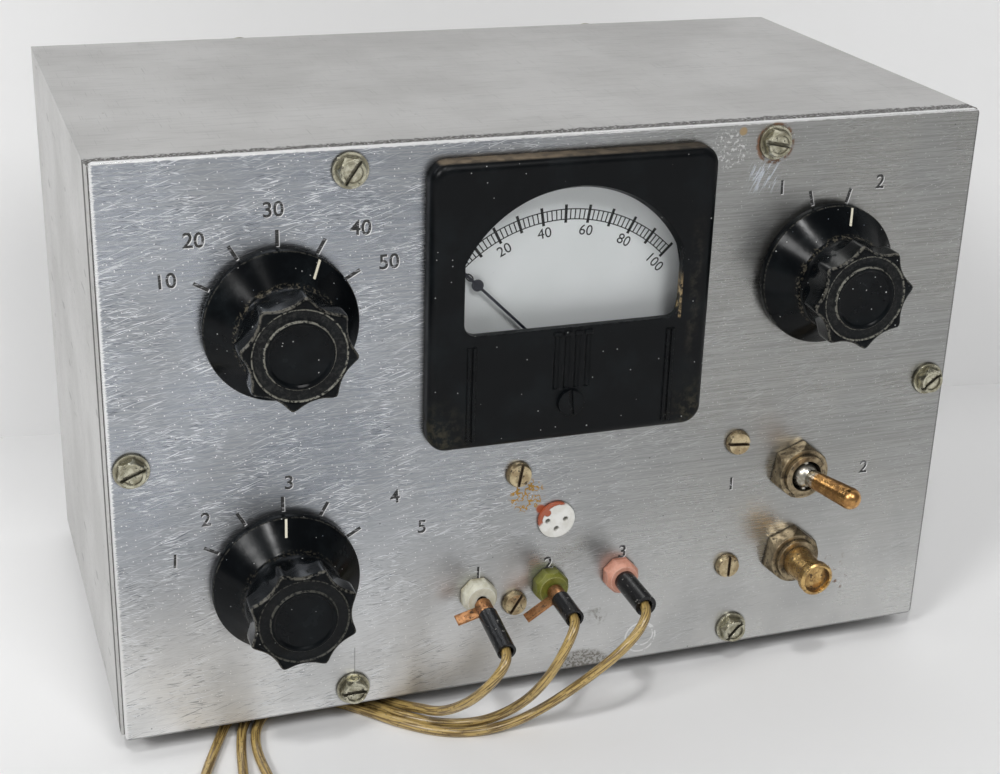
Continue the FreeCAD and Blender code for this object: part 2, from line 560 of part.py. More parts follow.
def slotted_screw(name, radius, crown, high, slot, slot_deep, shank, long):
    """A round-head screw, its head on the plane z = 0 and its shank behind it."""
    head = fuse(name + "_head", rod(name + "_base", radius, "0", f"({high}) / 2"),
                cone(name + "_crown", radius, crown, f"({high}) / 2", high))
    groove = block(name + "_slot", (f"-({radius})", radius), (f"-({slot}) / 2", f"({slot}) / 2"),
                   (f"({high}) - ({slot_deep})", high))
    return fuse(name, cut(name + "_slotted", head, groove), rod(name + "_shank", shank, f"-({long})", "0"))


def make_screws():
    hexagon = common("edge_screw_hexagon", many_sided("edge_screw_prism", "screw_flats", "0", "screw_head"),
                     cone("edge_screw_round", "screw_flange_radius", "screw_crown_radius", "0", "screw_head"))
    flange = rod("edge_screw_flange", "screw_flange_radius", "0", "screw_flange_high")
    groove = block("edge_screw_slot", ("-screw_flange_radius", "screw_flange_radius"),
                   ("-screw_slot / 2", "screw_slot / 2"), ("screw_head - screw_slot_deep", "screw_head"))
    dent = rod("edge_screw_dent", "screw_dent_radius", "screw_head - screw_dent", "screw_head")
    head = cut("edge_screw_head", fuse("edge_screw_blank", hexagon, flange), groove, dent)
    screw = fuse("edge_screw", head, rod("edge_screw_shank", "screw_shank", "-screw_long", "0"))
    copies("front_panel_screws", screw, [(x, rise, "0", rolled(slot)) for x, rise, slot in EDGE_SCREWS])
    copies("rear_panel_screws", screw, [(x, rise, f"-{DEPTH}", rolled(slot, BACK))
                                        for x, rise, slot in EDGE_SCREWS])
    small = slotted_screw("small_screw", "small_head_radius", "small_head_crown", "small_head", "small_slot",
                          "small_slot_deep", "small_shank", "small_long")
    places = [(x, rise, "0", rolled(slot)) for x, rise, slot in BOARD_SCREWS]
    places += [(x, rise, BOARD_BACK, rolled(slot, BACK)) for x, rise, slot in BOARD_SCREWS]
    places += [("0", rise, f"-{DEPTH}", BACK) for rise in tray_screw_rises()]
    copies("machine_screws", small, places)


# Resistor board and batteries

def resistor_places():
    """x and rise of the middle of each resistor."""
    return [(f"resistor_left + {column} * resistor_pitch - resistor_span / 2",
             f"resistor_low + {line} * resistor_row") for column in range(2) for line in range(3)]


def make_board():
    plate = block("board_sheet", ("board_left", "board_right"), ("board_low", "board_high"),
                  (BOARD_BACK, BOARD_FRONT))
    holes = [rod("board_screw_hole", "small_shank + hole_fit", BOARD_BACK, BOARD_FRONT, x, rise)
             for x, rise, slot in BOARD_SCREWS]
    for x, rise in resistor_places():
        for side in ("-", "+"):
            holes.append(rod("resistor_hole_cut", "resistor_hole", BOARD_BACK, BOARD_FRONT,
                             f"{x} {side} resistor_span / 2", rise))
    node(stand(cut("resistor_board", plate, *holes), "0", "0"))
    spacer = cut("spacer_master", rod("spacer_outside", "spacer_radius", BOARD_FRONT, SHELL_FRONT),
                 rod("spacer_bore", "small_shank + tapped_fit", BOARD_FRONT, SHELL_FRONT))
    copies("board_spacers", spacer, [(x, rise) for x, rise, slot in BOARD_SCREWS])
    body = bar("resistor_body", "resistor_radius", "-resistor_long / 2", "resistor_long / 2",
               out="-resistor_lift")
    wire = bar("resistor_wire", "resistor_lead", "-resistor_span / 2", "resistor_span / 2",
               out="-resistor_lift")
    legs = [rod("resistor_leg", "resistor_lead", "-resistor_lift", "board_thick", f"{side}resistor_span / 2")
            for side in ("-", "")]
    resistor = fuse("resistor_master", body, wire, *legs)
    copies("resistors", resistor, [(x, rise, BOARD_BACK) for x, rise in resistor_places()])


def tray_screw_rises():
    """How high the two screws of the battery tray are."""
    middle = "tray_low + tray_wall + tray_gap + cell_long / 2"
    return [f"{middle} - tray_screw_rise", f"{middle} + tray_screw_rise"]


def make_batteries():
    room_half = "2 * cell_pitch + tray_gap"
    half = f"{room_half} + tray_wall"
    room_low = "tray_low + tray_wall"
    room_high = f"{room_low} + 2 * tray_gap + cell_long + cell_tip"
    floor = f"{SHELL_BACK} + tray_wall"
    tray = block("tray_outside", (f"-({half})", half), ("tray_low", f"{room_high} + tray_wall"),
                 (SHELL_BACK, f"{SHELL_BACK} + tray_high"))
    room = block("tray_room", (f"-({room_half})", room_half), (room_low, room_high),
                 (floor, f"{SHELL_BACK} + tray_high"))
    holes = [rod("tray_hole", "small_shank + tapped_fit", SHELL_BACK, floor, "0", rise)
             for rise in tray_screw_rises()]
    node(stand(cut("battery_holder", tray, room, *holes), "0", "0"))
    can = rod("cell_can", "cell_radius", "0", "cell_long")
    cell = fuse("cell_master", can,
                rod("cell_tip_rod", "cell_tip_radius", "cell_long", "cell_long + cell_tip"))
    places = [(f"({place}) * cell_pitch", f"{room_low} + tray_gap", f"{floor} + tray_gap + cell_radius",
               UPRIGHT)
              for place in (-1.5, -0.5, 0.5, 1.5)]
    copies("battery_cells", cell, places)


# Meter

def make_meter_case():
    half = "meter_side / 2"
    corners = [(f"-{half}", f"-{half}"), (half, f"-{half}"), (half, half), (f"-{half}", half)]
    case = padded("meter_case", "XY_Plane", corners, "meter_proud")
    round_edges(case, "meter_corners", "meter_corner",
                lambda box: box.ZLength > max(box.XLength, box.YLength))
    proud = value("meter_proud")
    round_edges(case, "meter_front_edge", "meter_edge", lambda box: box.ZMin > proud - 0.01)
    cavity = rod("meter_cavity", "cavity_radius", "0", "cavity_deep")
    arch = cone("window_arch", "window_radius", "window_radius + window_bevel", "cavity_deep", "meter_proud",
                y="window_middle")
    corners = [("-window_half", "window_low"), ("window_half", "window_low"), ("window_half", "window_high"),
               ("-window_half", "window_high")]
    opening = padded("window_opening", "XY_Plane", corners, "meter_proud - cavity_deep", "cavity_deep")
    sill = value("window_low")
    round_edges(opening, "window_corners", "window_corner",
                lambda box: box.YMax < sill + 0.01 and box.ZLength > 1)
    window = common("meter_window", arch, opening)
    columns = [f"{place} * flute_pitch" for place in (-1.5, -0.5, 0.5, 1.5)]
    flutes = [post("meter_flute", "flute_radius", "flute_low", "lip_low", column, "meter_proud + flute_proud")
              for column in columns]
    zero_hole = rod("zero_hole", "zero_stem + zero_gap", "cavity_deep", "meter_proud", y="zero_rise")
    hollowed = cut("meter_hollowed", case, cavity, window, zero_hole, *flutes)
    lips = [block("meter_lip", (f"{column} - lip_half", f"{column} + lip_half"), ("lip_low", "lip_high"),
                  ("meter_proud", "meter_proud + rib_proud")) for column in columns]
    ribs = [block("meter_rib", (f"{middle} - rib_wide / 2", f"{middle} + rib_wide / 2"),
                  ("rib_low", "rib_high"),
                  ("meter_proud", "meter_proud + rib_proud"))
            for side in ("-rib_offset", "rib_offset")
            for middle in (f"{side} - rib_pitch / 2", f"{side} + rib_pitch / 2")]
    node(stand(fuse("meter_cover", hollowed, *lips, *ribs), *METER_PLACE))

    pane = rod("glass_disc", "glass_radius", "glass_back", "glass_front")
    below = block("glass_below", ("-glass_radius", "glass_radius"), ("-glass_radius", "glass_low"),
                  ("glass_back", "glass_front"))
    node(stand(cut("meter_glass", pane, below), *METER_PLACE))

    inside = "can_radius - can_wall"
    can = turned("meter_can",
                 [("0", "-can_long"), ("can_radius", "-can_long"), ("can_radius", "0"), (inside, "0"),
                               (inside, "can_wall - can_long"), ("0", "can_wall - can_long")])
    node(stand(can, *METER_PLACE))

    back = "dial_front - dial_thick"
    disc = rod("dial_disc", "dial_radius", back, "dial_front")
    below = block("dial_below", ("-dial_radius", "dial_radius"), ("-dial_radius", "dial_low"),
                  (back, "dial_front"))
    node(stand(cut("meter_dial", disc, below), *METER_PLACE))

    head_back = "meter_proud + zero_gap"
    head = rod("zero_head_disc", "zero_head_radius", head_back, f"{head_back} + zero_head")
    slot = block("zero_slot_cut", ("-zero_head_radius", "zero_head_radius"),
                 ("-zero_slot / 2", "zero_slot / 2"),
                 (f"{head_back} + zero_head / 2", f"{head_back} + zero_head"))
    stem = rod("zero_stem_rod", "zero_stem", "-zero_reach", head_back)
    screw = fuse("meter_zero_screw", cut("zero_head_slotted", head, slot), stem)
    node(stand(screw, "meter_x", "meter_rise + zero_rise", turn=rolled(96)))


def make_meter_movement():
    """The magnet, core, coil and pointer, with the coil's pivot on the out axis."""
    slot_top = "magnet_slot_top - pivot_rise"
    low = "magnet_low - pivot_rise"
    high = "magnet_high - pivot_rise"
    bar_magnet = block("magnet_block", ("-magnet_half", "magnet_half"), (low, high),
                       ("magnet_back", "magnet_front"))
    slot = block("magnet_slot_block", ("-magnet_slot", "magnet_slot"), (low, slot_top),
                 ("magnet_back", "magnet_front"))
    slot_end = rod("magnet_slot_end", "magnet_slot", "magnet_back", "magnet_front", y=slot_top)
    node(stand(cut("meter_magnet", bar_magnet, slot, slot_end), *MOVEMENT_PLACE))

    core = rod("core_rod", "core_radius", "core_back", "core_front")
    arm = block("core_arm_block", ("-core_arm", "core_arm"), ("0", "core_arm_top - pivot_rise"),
                ("core_arm_back", "core_arm_front"))
    node(stand(fuse("meter_core", core, arm), *MOVEMENT_PLACE))

    frame = block("coil_outside", ("-coil_half", "coil_half"), ("-coil_thick", "coil_thick"),
                  ("coil_back", "coil_front"))
    room = block("coil_room", ("-coil_inside", "coil_inside"), ("-coil_thick", "coil_thick"),
                 ("coil_back + coil_end", "coil_front - coil_end"))
    coil = fuse("meter_coil", cut("coil_frame", frame, room),
                rod("staff_front_rod", "staff_radius", "coil_front", "staff_front"),
                rod("staff_back_rod", "staff_radius", "staff_back", "coil_back"))
    at_zero = rolled(value("zero_angle"))
    node(stand(coil, *MOVEMENT_PLACE, turn=at_zero))

    back = "pointer_front - pointer_thick"
    arm = block("pointer_arm", ("-pointer_half", "pointer_half"), ("-pointer_tail", "pointer_long"),
                (back, "pointer_front"))
    hub = rod("pointer_hub_disc", "pointer_hub", back, "pointer_front")
    spade = rod("pointer_spade", "spade_radius", back, "pointer_front", y="spade_reach")
    bore = rod("pointer_bore", "staff_radius", back, "pointer_front")
    node(stand(cut("meter_pointer", fuse("pointer_blank", arm, hub, spade), bore), *MOVEMENT_PLACE,
               turn=at_zero))

    straps = []
    for name, back in (("front", "bridge_front - bridge_thick"), ("back", "bridge_back")):
        strap = block(f"{name}_strap", ("-bridge_half", "bridge_half"), ("-bridge_wide", "bridge_wide"),
                      (back, f"{back} + bridge_thick"))
        ends = (back, "magnet_front") if name == "front" else (f"{back} + bridge_thick", "magnet_back")
        legs = [rod(f"{name}_leg", "bridge_post", *sorted(ends, key=value), f"{side}bridge_post_x")
                for side in ("-", "")]
        bearing = rod(f"{name}_bearing", "bearing_radius", back, f"{back} + bridge_thick")
        straps.append(cut(f"{name}_bridge", fuse(f"{name}_bridge_blank", strap, *legs), bearing))
    placed = [stand(piece, *MOVEMENT_PLACE) for piece in straps]
    dial_post = pin("dial_post", "bridge_post", "can_wall - can_long", "dial_front - dial_thick")
    placed += [linked("dial_post_copy", dial_post,
                      (f"meter_x {side} dial_post_x", "meter_rise + dial_post_rise"))
               for side in "-+"]
    group("meter_bridges", placed)

    start = value("hair_radius")
    step = value("hair_step")
    arcs = []
    here = FreeCAD.Vector(-start, 0, 0)
    for half_turn in range(HAIR_HALF_TURNS):
        radius = start + half_turn * step
        way = -1 if half_turn % 2 else 1
        across = FreeCAD.Vector(way * radius, 0, 0)
        top = here + across + FreeCAD.Vector(0, way * radius, 0)
        arcs.append(Part.Arc(here, top, here + across * 2).toShape())
        here = here + across * 2
    ring = Part.makeCircle(value("hair_wire"), FreeCAD.Vector(-start, 0, 0), UP)
    spring = swept("meter_hairspring", Part.Wire(arcs), ring)
    node(stand(spring, *MOVEMENT_PLACE, "hair_out"))


def make_meter_fasteners():
    stud = pin("meter_stud_master", "stud_radius", "-stud_long", "0")
    terminal = pin("meter_terminal_master", "stud_radius", "-terminal_long", "0")
    nut = cut("meter_nut_master", many_sided("meter_nut_prism", "stud_nut", "-stud_nut_high", "0"),
              rod("meter_nut_bore", "stud_radius + nut_fit", "-stud_nut_high", "0"))
    corners = [(f"meter_x {side} stud_spread", f"meter_rise {level} stud_spread")
               for side in "-+" for level in "-+"]
    ends = [(f"meter_x {side} terminal_x", "meter_rise + terminal_rise") for side in "-+"]
    studs = [linked("meter_stud_copy", stud, place) for place in corners]
    studs += [linked("meter_terminal_copy", terminal, (x, rise, "-can_long")) for x, rise in ends]
    group("meter_studs", studs)
    copies("meter_nuts", nut, [(x, rise, SHELL_FRONT) for x, rise in corners]
           + [(x, rise, "-can_long") for x, rise in ends])


# Rotary switches

def make_knobs():
    profile = [("0", "knob_gap"), ("knob_radius", "knob_gap"), ("knob_radius", "knob_rim"),
               ("knob_shoulder_radius", "knob_shoulder"), ("knob_slope_radius", "knob_slope"),
               ("knob_collar_radius", "knob_collar"), ("knob_neck_radius", "knob_neck"),
               ("knob_tip_radius", "knob_grip_low"), ("knob_tip_radius", "knob_grip_high"),
               ("knob_face_radius", "knob_face"), ("knob_ring_radius", "knob_face"),
               ("knob_ring_radius", "knob_face - knob_ring_deep"),
               ("knob_disc_radius", "knob_face - knob_ring_deep"),
               ("knob_disc_radius", "knob_disc"), ("knob_dish_radius", "knob_disc"),
               ("knob_dish_radius - knob_ring_deep", "knob_dish"), ("0", "knob_dish")]
    blank = turned("knob_blank", profile)
    scallops = [rod("knob_scallop", "scallop_radius", "knob_neck", "knob_disc",
                    f"scallop_reach * cos({angle})", f"scallop_reach * sin({angle})")
                for angle in range(0, 360, 360 // KNOB_LOBES)]
    room = rod("knob_room_rod", "knob_room_radius", "knob_gap", "knob_room")
    bore = rod("knob_bore_rod", "knob_bore_radius", "knob_room", "knob_bore")
    screw_hole = post("set_screw_hole", "set_screw_radius + set_screw_fit", "-knob_tip_radius", "0",
                      out="set_screw_out")
    knob = cut("knob_master", blank, room, bore, screw_hole, *scallops)
    blank_screw = post("set_screw_pin", "set_screw_radius", "-set_screw_end", "-set_screw_start",
                       out="set_screw_out")
    slot = block("set_screw_slot_cut", ("-set_screw_radius", "set_screw_radius"),
                 ("-set_screw_end", "set_screw_radius - set_screw_end"),
                 ("set_screw_out - set_screw_slot / 2", "set_screw_out + set_screw_slot / 2"))
    set_screw = cut("set_screw_master", blank_screw, slot)
    shaft = fuse("shaft_master", rod("shaft_rod", "shaft_radius", "shaft_back", "shaft_front"),
                 rod("detent_disc", "detent_radius", "detent_back", "detent_front"),
                 rod("rotor_disc", "rotor_radius", "rotor_back", "rotor_front"))
    for name, (x, rise, angle) in SWITCHES.items():
        for piece, master in (("knob", knob), ("set_screw", set_screw), ("shaft", shaft)):
            copies(f"{name}_{piece}", master, [(x, rise, "0", rolled(-angle))])


def make_switches():
    places = [(x, rise) for x, rise, angle in SWITCHES.values()]
    plate = block("bracket_plate", ("-bracket_half", "bracket_half"),
                  ("-bracket_half_high", "bracket_half_high"),
                  ("bushing_back", SHELL_FRONT))
    sleeve = rod("bushing_rod", "bushing_radius", "bushing_back", "bushing_front")
    posts = [rod("wafer_post_rod", "wafer_post", "wafer_post_back", "bushing_back", f"{side}wafer_post_x")
             for side in ("-", "")]
    bore = rod("bushing_bore_rod", "bushing_bore", "bushing_back", "bushing_front")
    copies("switch_bushings", cut("bushing_master", fuse("bushing_blank", plate, sleeve, *posts), bore),
           places)

    disc = rod("wafer_disc", "wafer_radius", "wafer_back", "wafer_front")
    step = 360 // WAFER_LUGS
    lugs = [spoke("wafer_lug", "lug_reach", "lug_half", "wafer_back - lug_thick", "wafer_back", angle)
            for angle in range(step // 2, 360, step)]
    holes = [rod("wafer_post_hole", "wafer_post + wafer_post_fit", "wafer_back - lug_thick", "wafer_front",
                 f"{side}wafer_post_x") for side in ("-", "")]
    middle = rod("wafer_middle", "wafer_hole", "wafer_back - lug_thick", "wafer_front")
    copies("switch_wafers", cut("wafer_master", fuse("wafer_blank", disc, *lugs), middle, *holes), places)

    nut = cut("switch_nut_master", many_sided("switch_nut_prism", "switch_nut", "0", "switch_nut_high"),
              rod("switch_nut_bore", "bushing_radius + nut_fit", "0", "switch_nut_high"))
    copies("switch_nuts", nut, places)


# Toggle switch and push button

def make_small_switches():
    plate = block("small_plate", ("-small_plate_half", "small_plate_half"),
                  ("-small_plate_half_high", "small_plate_half_high"), ("small_plate_back", SHELL_FRONT))
    sleeve = rod("small_sleeve", "small_bushing", "small_plate_back", "small_front")
    bore = rod("small_bore_rod", "small_bore", "small_plate_back", "small_front")
    bushing = cut("small_bushing_master", fuse("small_bushing_blank", plate, sleeve), bore)
    copies("small_switch_bushings", bushing, [TOGGLE_PLACE, PUSH_PLACE])
    blank = common("small_nut_blank", many_sided("small_nut_prism", "small_nut", "0", "small_nut_high"),
                   cone("small_nut_round", "small_nut", "small_nut / 2", "-small_nut", "small_nut_high"))
    nut = cut("small_nut_master", blank,
              rod("small_nut_bore", "small_bushing + nut_fit", "0", "small_nut_high"))
    turn = rolled(value("small_nut_turn"))
    copies("panel_nuts", nut, [(*TOGGLE_PLACE, "0", turn), (*PUSH_PLACE, "0", turn)])

    tip = "(lever_reach - lever_pivot - lever_tip) / cos(lever_throw)"
    lever = fuse("toggle_lever", ball("lever_ball_sphere", "lever_ball", "0"),
                 cone("lever_bat", "lever_root", "lever_tip", "0", tip),
                 ball("lever_tip_sphere", "lever_tip", tip),
                 rod("lever_tail_rod", "lever_tail_radius", "-lever_tail", "0"),
                 post("lever_trunnions", "trunnion_radius", "-trunnion_half", "trunnion_half"))
    thrown = FRONT * FreeCAD.Rotation(UP, value("lever_throw"))
    node(stand(lever, *TOGGLE_PLACE, "lever_pivot", thrown))

    case = block("toggle_case", ("-toggle_half", "toggle_half"), ("-toggle_half_high", "toggle_half_high"),
                 ("toggle_back", "small_plate_back"))
    lugs = [block("toggle_lug_block", (f"{middle} - toggle_lug", f"{middle} + toggle_lug"),
                  ("-lug_thick", "lug_thick"), ("toggle_lug_back", "toggle_back"))
            for middle in ("-toggle_lug_pitch", "0", "toggle_lug_pitch")]
    room = block("toggle_room_block", ("-toggle_room", "toggle_room"),
                 ("-toggle_room_high", "toggle_room_high"),
                 ("toggle_room_back", "small_plate_back"))
    node(stand(cut("toggle_body", fuse("toggle_blank", case, *lugs), room), *TOGGLE_PLACE))

    body = turned("push_body", [("0", "push_back"), ("push_radius", "push_back"),
                                ("push_radius", "small_plate_back"), ("spring_room", "small_plate_back"),
                                ("spring_room", "spring_seat"), ("stem_room", "spring_seat"),
                                ("stem_room", "stem_room_back"), ("0", "stem_room_back")])
    node(stand(body, *PUSH_PLACE))

    profile = [("0", "plunger_back"), ("plunger_stem", "plunger_back"), ("plunger_stem", "plunger_step"),
               ("plunger_base", "plunger_step"), ("plunger_base", "plunger_base_top"),
               ("plunger_neck", "plunger_neck_out"), ("plunger_head", "plunger_head_out"),
               ("plunger_head", "plunger_edge"), ("plunger_lip", "plunger_front"),
               ("plunger_dish", "plunger_front"),
               ("plunger_dish", "plunger_dish_out"), ("0", "plunger_dish_out")]
    node(stand(turned("push_plunger", profile), *PUSH_PLACE))

    radius = value("spring_radius")
    last = SPRING_TURNS * SPRING_STEPS
    helix = []
    for step in range(last + 1):
        angle = 2 * math.pi * step / SPRING_STEPS
        helix.append(FreeCAD.Vector(radius * math.cos(angle), radius * math.sin(angle),
                                    value("spring_long") * step / last))
    node(stand(tube("push_spring", helix, "spring_wire"), *PUSH_PLACE, "spring_back"))


# Socket, jacks and plugs

def make_socket():
    blank = fuse("socket_blank", rod("socket_flange_disc", "socket_flange", "0", "socket_proud"),
                 rod("socket_rod", "socket_radius", "socket_back", "0"))
    pins = [("-socket_pin", "0"), ("socket_pin", "0"), ("0", "-socket_pin")]
    holes = [rod("socket_hole_cut", "socket_hole", "socket_back", "socket_proud", x, y) for x, y in pins]
    node(stand(cut("transistor_socket", blank, *holes), *SOCKET_PLACE))
    contact = pin("contact_master", "contact_radius", "contact_back", "contact_front")
    copies("socket_contacts", contact, [(f"socket_x + ({x})", f"socket_rise + ({y})") for x, y in pins])


def make_jacks_and_plugs():
    face = cone("jack_round", "jack_flats", "jack_face_radius", "-jack_proud", "jack_proud")
    front = common("jack_front", many_sided("jack_prism", "jack_flats", "0", "jack_proud", 8, 22.5), face)
    blank = fuse("jack_blank", front, rod("jack_rod", "jack_radius", "jack_back", "0"))
    jack = cut("jack_master", blank, rod("jack_bore_rod", "jack_bore", "jack_bore_back", "jack_proud"))
    for name, x in JACKS.items():
        copies(f"{name}_jack", jack, [(x, "jack_rise")])

    tip = rod("plug_pin_rod", "plug_pin", "plug_pin_back", "plug_collar_end")
    collar = rod("plug_collar_rod", "plug_collar", "plug_collar_start", "plug_collar_end")
    bent_down = FRONT * FreeCAD.Rotation(RIGHT, value("plug_droop"))
    plugs = []
    tails = (("emitter", "emitter_tail", 197, bent_down), ("base", "base_tail", 213, FRONT))
    for name, tail, angle, turn in tails:
        strip = spoke(f"{name}_tail_strip", f"plug_collar + {tail}", "tail_half", "tail_start",
                      "tail_start + tail_wide", angle)
        plugs.append(stand(fuse(f"{name}_plug", tip, collar, strip), JACKS[name], "jack_rise", turn=turn))
    hidden = pin("collector_plug", "plug_pin", "plug_pin_back", "jack_proud + tail_half")
    plugs.append(stand(hidden, "collector_x", "jack_rise"))
    group("test_plugs", plugs)

    sleeves = []
    for name, radius, start, end, turn in (
            ("emitter", "sleeve_radius", "plug_collar_end", "emitter_sleeve", bent_down),
            ("base", "sleeve_radius", "plug_collar_end", "base_sleeve", FRONT),
            ("collector", "wide_sleeve_radius", "jack_proud + tail_half", "collector_sleeve", FRONT)):
        mouth = f"{end} - sleeve_mouth_deep"
        sleeve = turned(f"{name}_sleeve",
                        [("0", start), (radius, start), (radius, end), ("sleeve_mouth", end),
                                           ("sleeve_mouth", mouth), ("0", mouth)])
        sleeves.append(stand(sleeve, JACKS[name], "jack_rise", turn=turn))
    group("plug_sleeves", sleeves)


# Leads, clips and inside wiring

def in_frame(x, out, high):
    """A point of a lead's route, in the part's own frame."""
    return FreeCAD.Vector(x, value(PANEL_FRONT) - out, high)


def make_leads():
    for name, route in (("emitter", EMITTER_ROUTE), ("base", BASE_ROUTE), ("collector", COLLECTOR_ROUTE)):
        points = [in_frame(*point) for point in route]
        lead = node(tube(f"{name}_lead", points, "lead_radius"))
        radii = [bend(*corner)[2] for corner in zip(points, points[1:], points[2:])]
        long = lead.Shape.Volume / (math.pi * value("lead_radius") ** 2)
        print(f"{lead.Name}: {long:.1f} mm long by volume, bends of", *(f"{radius:.1f}" for radius in radii))
    lift = value(PANEL_BOTTOM)
    wires = [tube("hookup_wire", [in_frame(x, out, rise + lift) for x, out, rise in wire], "hookup_radius")
             for wire in HOOKUP_WIRES]
    group("hookup_wires", wires)


def make_clips():
    """Spring clips lying on the floor, built with z along the clip and y up from the floor."""
    barrel = rod("clip_barrel_rod", "clip_barrel", "0", "clip_barrel_long", y="clip_barrel")
    plate = block("clip_base", ("-clip_half", "clip_half"), ("0", "clip_plate"),
                  ("clip_plate_start", "clip_step"))
    nose = block("clip_nose_plate", ("-clip_tip_half", "clip_tip_half"), ("0", "clip_plate"),
                 ("clip_step", "clip_long"))
    ears = [block("clip_ear_block", span, ("0", "clip_ear"), ("clip_ear_start", "clip_ear_end"))
            for span in (("-clip_half", "clip_ear_thick - clip_half"),
                         ("clip_half - clip_ear_thick", "clip_half"))]
    rivet = bar("clip_pin_rod", "clip_pin", "-clip_half", "clip_half", "clip_pin_high", "clip_pin_along")
    lower = fuse("clip_lower_master", barrel, plate, nose, rivet, *ears)

    profile = [("clip_bite", "clip_long"), ("clip_bite", "clip_ear_end + clip_plate"),
               ("clip_pin_high - 2 * clip_pin", "clip_pin_along"),
               ("clip_pin_high - clip_pin", "clip_pin_along - 2 * clip_pin"),
               ("clip_thumb_high", "clip_thumb"),
               ("clip_thumb_high + clip_thumb_thick", "clip_thumb"),
               ("clip_pin_high + 2 * clip_pin", "clip_pin_along"),
               ("clip_pin_high + clip_pin", "clip_ear_end"),
               ("clip_nose", "clip_long")]
    blade = padded("clip_blade", "YZ_Plane", profile, "2 * clip_jaw_half", both_ways=True)
    hole = bar("clip_pin_hole", "clip_pin + clip_pin_fit", "-clip_jaw_half", "clip_jaw_half", "clip_pin_high",
               "clip_pin_along")
    upper = cut("clip_upper_master", blade, hole)
    places = {}
    for name, route in (("emitter", EMITTER_ROUTE), ("base", BASE_ROUTE), ("collector", COLLECTOR_ROUTE)):
        x, out, high = route[-1]
        places[name] = (str(x), f"-{PANEL_BOTTOM}", str(out))
    copies("clip_lower_jaws", lower, places.values())
    for name, place in places.items():
        copies(f"{name}_clip_jaw", upper, [place])


make_panels()
make_cabinet_shell()
make_feet()
make_screws()
make_board()
make_batteries()
make_meter_case()
make_meter_movement()
make_meter_fasteners()
make_knobs()
make_switches()
make_small_switches()
make_socket()
make_jacks_and_plugs()
make_leads()
make_clips()
doc.recompute()

for item in doc.Objects:
    faults = {"Invalid", "Error"} & set(item.State)
    if faults:
        raise RuntimeError(f"{item.Name}: {faults}")
os.makedirs("parts", exist_ok=True)
for name, item in nodes.items():
    shape = item.Shape
    if shape.isNull() or not shape.isValid() or not shape.Solids:
        raise RuntimeError(f"{name}: no valid solid")
    item.Label = name
    shape.exportStep(f"parts/{name}.step")
print(len(nodes), "nodes written")
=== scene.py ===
"""Looks of the bench transistor tester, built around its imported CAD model.

Metres, +Z up, the front panel faces -Y. Pieces on the panel are placed by x, rise above the panel's bottom
edge and distance out from its front face, in millimetres.
"""
import math

import bmesh
import bpy
import numpy as np
from mathutils import Matrix, Vector


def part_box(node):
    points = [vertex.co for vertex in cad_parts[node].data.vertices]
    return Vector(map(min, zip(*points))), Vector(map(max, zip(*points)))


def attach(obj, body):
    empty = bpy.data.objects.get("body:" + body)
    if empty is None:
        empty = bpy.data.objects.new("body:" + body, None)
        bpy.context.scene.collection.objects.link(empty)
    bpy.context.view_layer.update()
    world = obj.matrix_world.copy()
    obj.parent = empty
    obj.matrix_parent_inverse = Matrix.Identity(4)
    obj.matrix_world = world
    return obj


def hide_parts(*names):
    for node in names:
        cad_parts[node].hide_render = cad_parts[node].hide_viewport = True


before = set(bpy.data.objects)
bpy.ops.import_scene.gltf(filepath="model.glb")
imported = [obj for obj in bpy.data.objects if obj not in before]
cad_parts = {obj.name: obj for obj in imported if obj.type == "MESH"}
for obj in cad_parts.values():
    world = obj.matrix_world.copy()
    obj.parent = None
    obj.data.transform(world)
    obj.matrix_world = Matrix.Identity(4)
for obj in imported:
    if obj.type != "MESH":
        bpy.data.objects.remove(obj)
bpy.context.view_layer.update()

MM = 0.001
PANEL_LOW, PANEL_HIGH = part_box("front_panel")
PANEL_FRONT = PANEL_LOW.y
PANEL_BOTTOM = PANEL_LOW.z
PANEL_HALF = (PANEL_HIGH.x - PANEL_LOW.x) / 2 / MM
PANEL_TALL = (PANEL_HIGH.z - PANEL_LOW.z) / MM
PANEL_THICK = (PANEL_HIGH.y - PANEL_LOW.y) / MM
FLOOR_LEVEL = -PANEL_BOTTOM / MM


def on_panel(x, rise, out=0.0):
    """A place on the front panel, from millimetres to the frame's metres, for numbers or arrays."""
    return np.stack(np.broadcast_arrays(x * MM, PANEL_FRONT - out * MM, PANEL_BOTTOM + rise * MM), axis=-1)


def into_scene(name, data):
    """A new object in the scene that holds a mesh, a lamp or a camera."""
    item = bpy.data.objects.new(name, data)
    bpy.context.scene.collection.objects.link(item)
    return item


# Camera, lights and floor

CAMERA_AZIMUTH = math.radians(-19.815)
CAMERA_ELEVATION = math.radians(22.997)
CAMERA_ROLL = math.radians(1.781)
CAMERA_X, CAMERA_RISE, CAMERA_OUT = -152.7, 257.4, 378.3
LENS = 62.41
HORIZON_LIGHT, ZENITH_LIGHT, SKY_SEEN = 0.16, 0.12, 0.85
FLOOR_HALF = 4.0
# Where the backdrop's foot runs, as x and distance behind the panel, and its height
BACKDROP_FOOT = ((-130.0, 209.5), (252.0, 156.6))
BACKDROP_TALL = 2.0
LIGHTS = {
    # place, what it faces, width and power
    "overhead": ((-0.54, -1.03, 2.0), (0.0, 0.0, 0.05), 0.18, 9.6),
    "front": ((0.2, -1.5, 1.5), (0.0, 0.0, 0.08), 0.7, 12.2),
    "left": ((-1.28, -0.91, 1.23), (0.0, 0.0, 0.07), 0.5, 14.4),
}


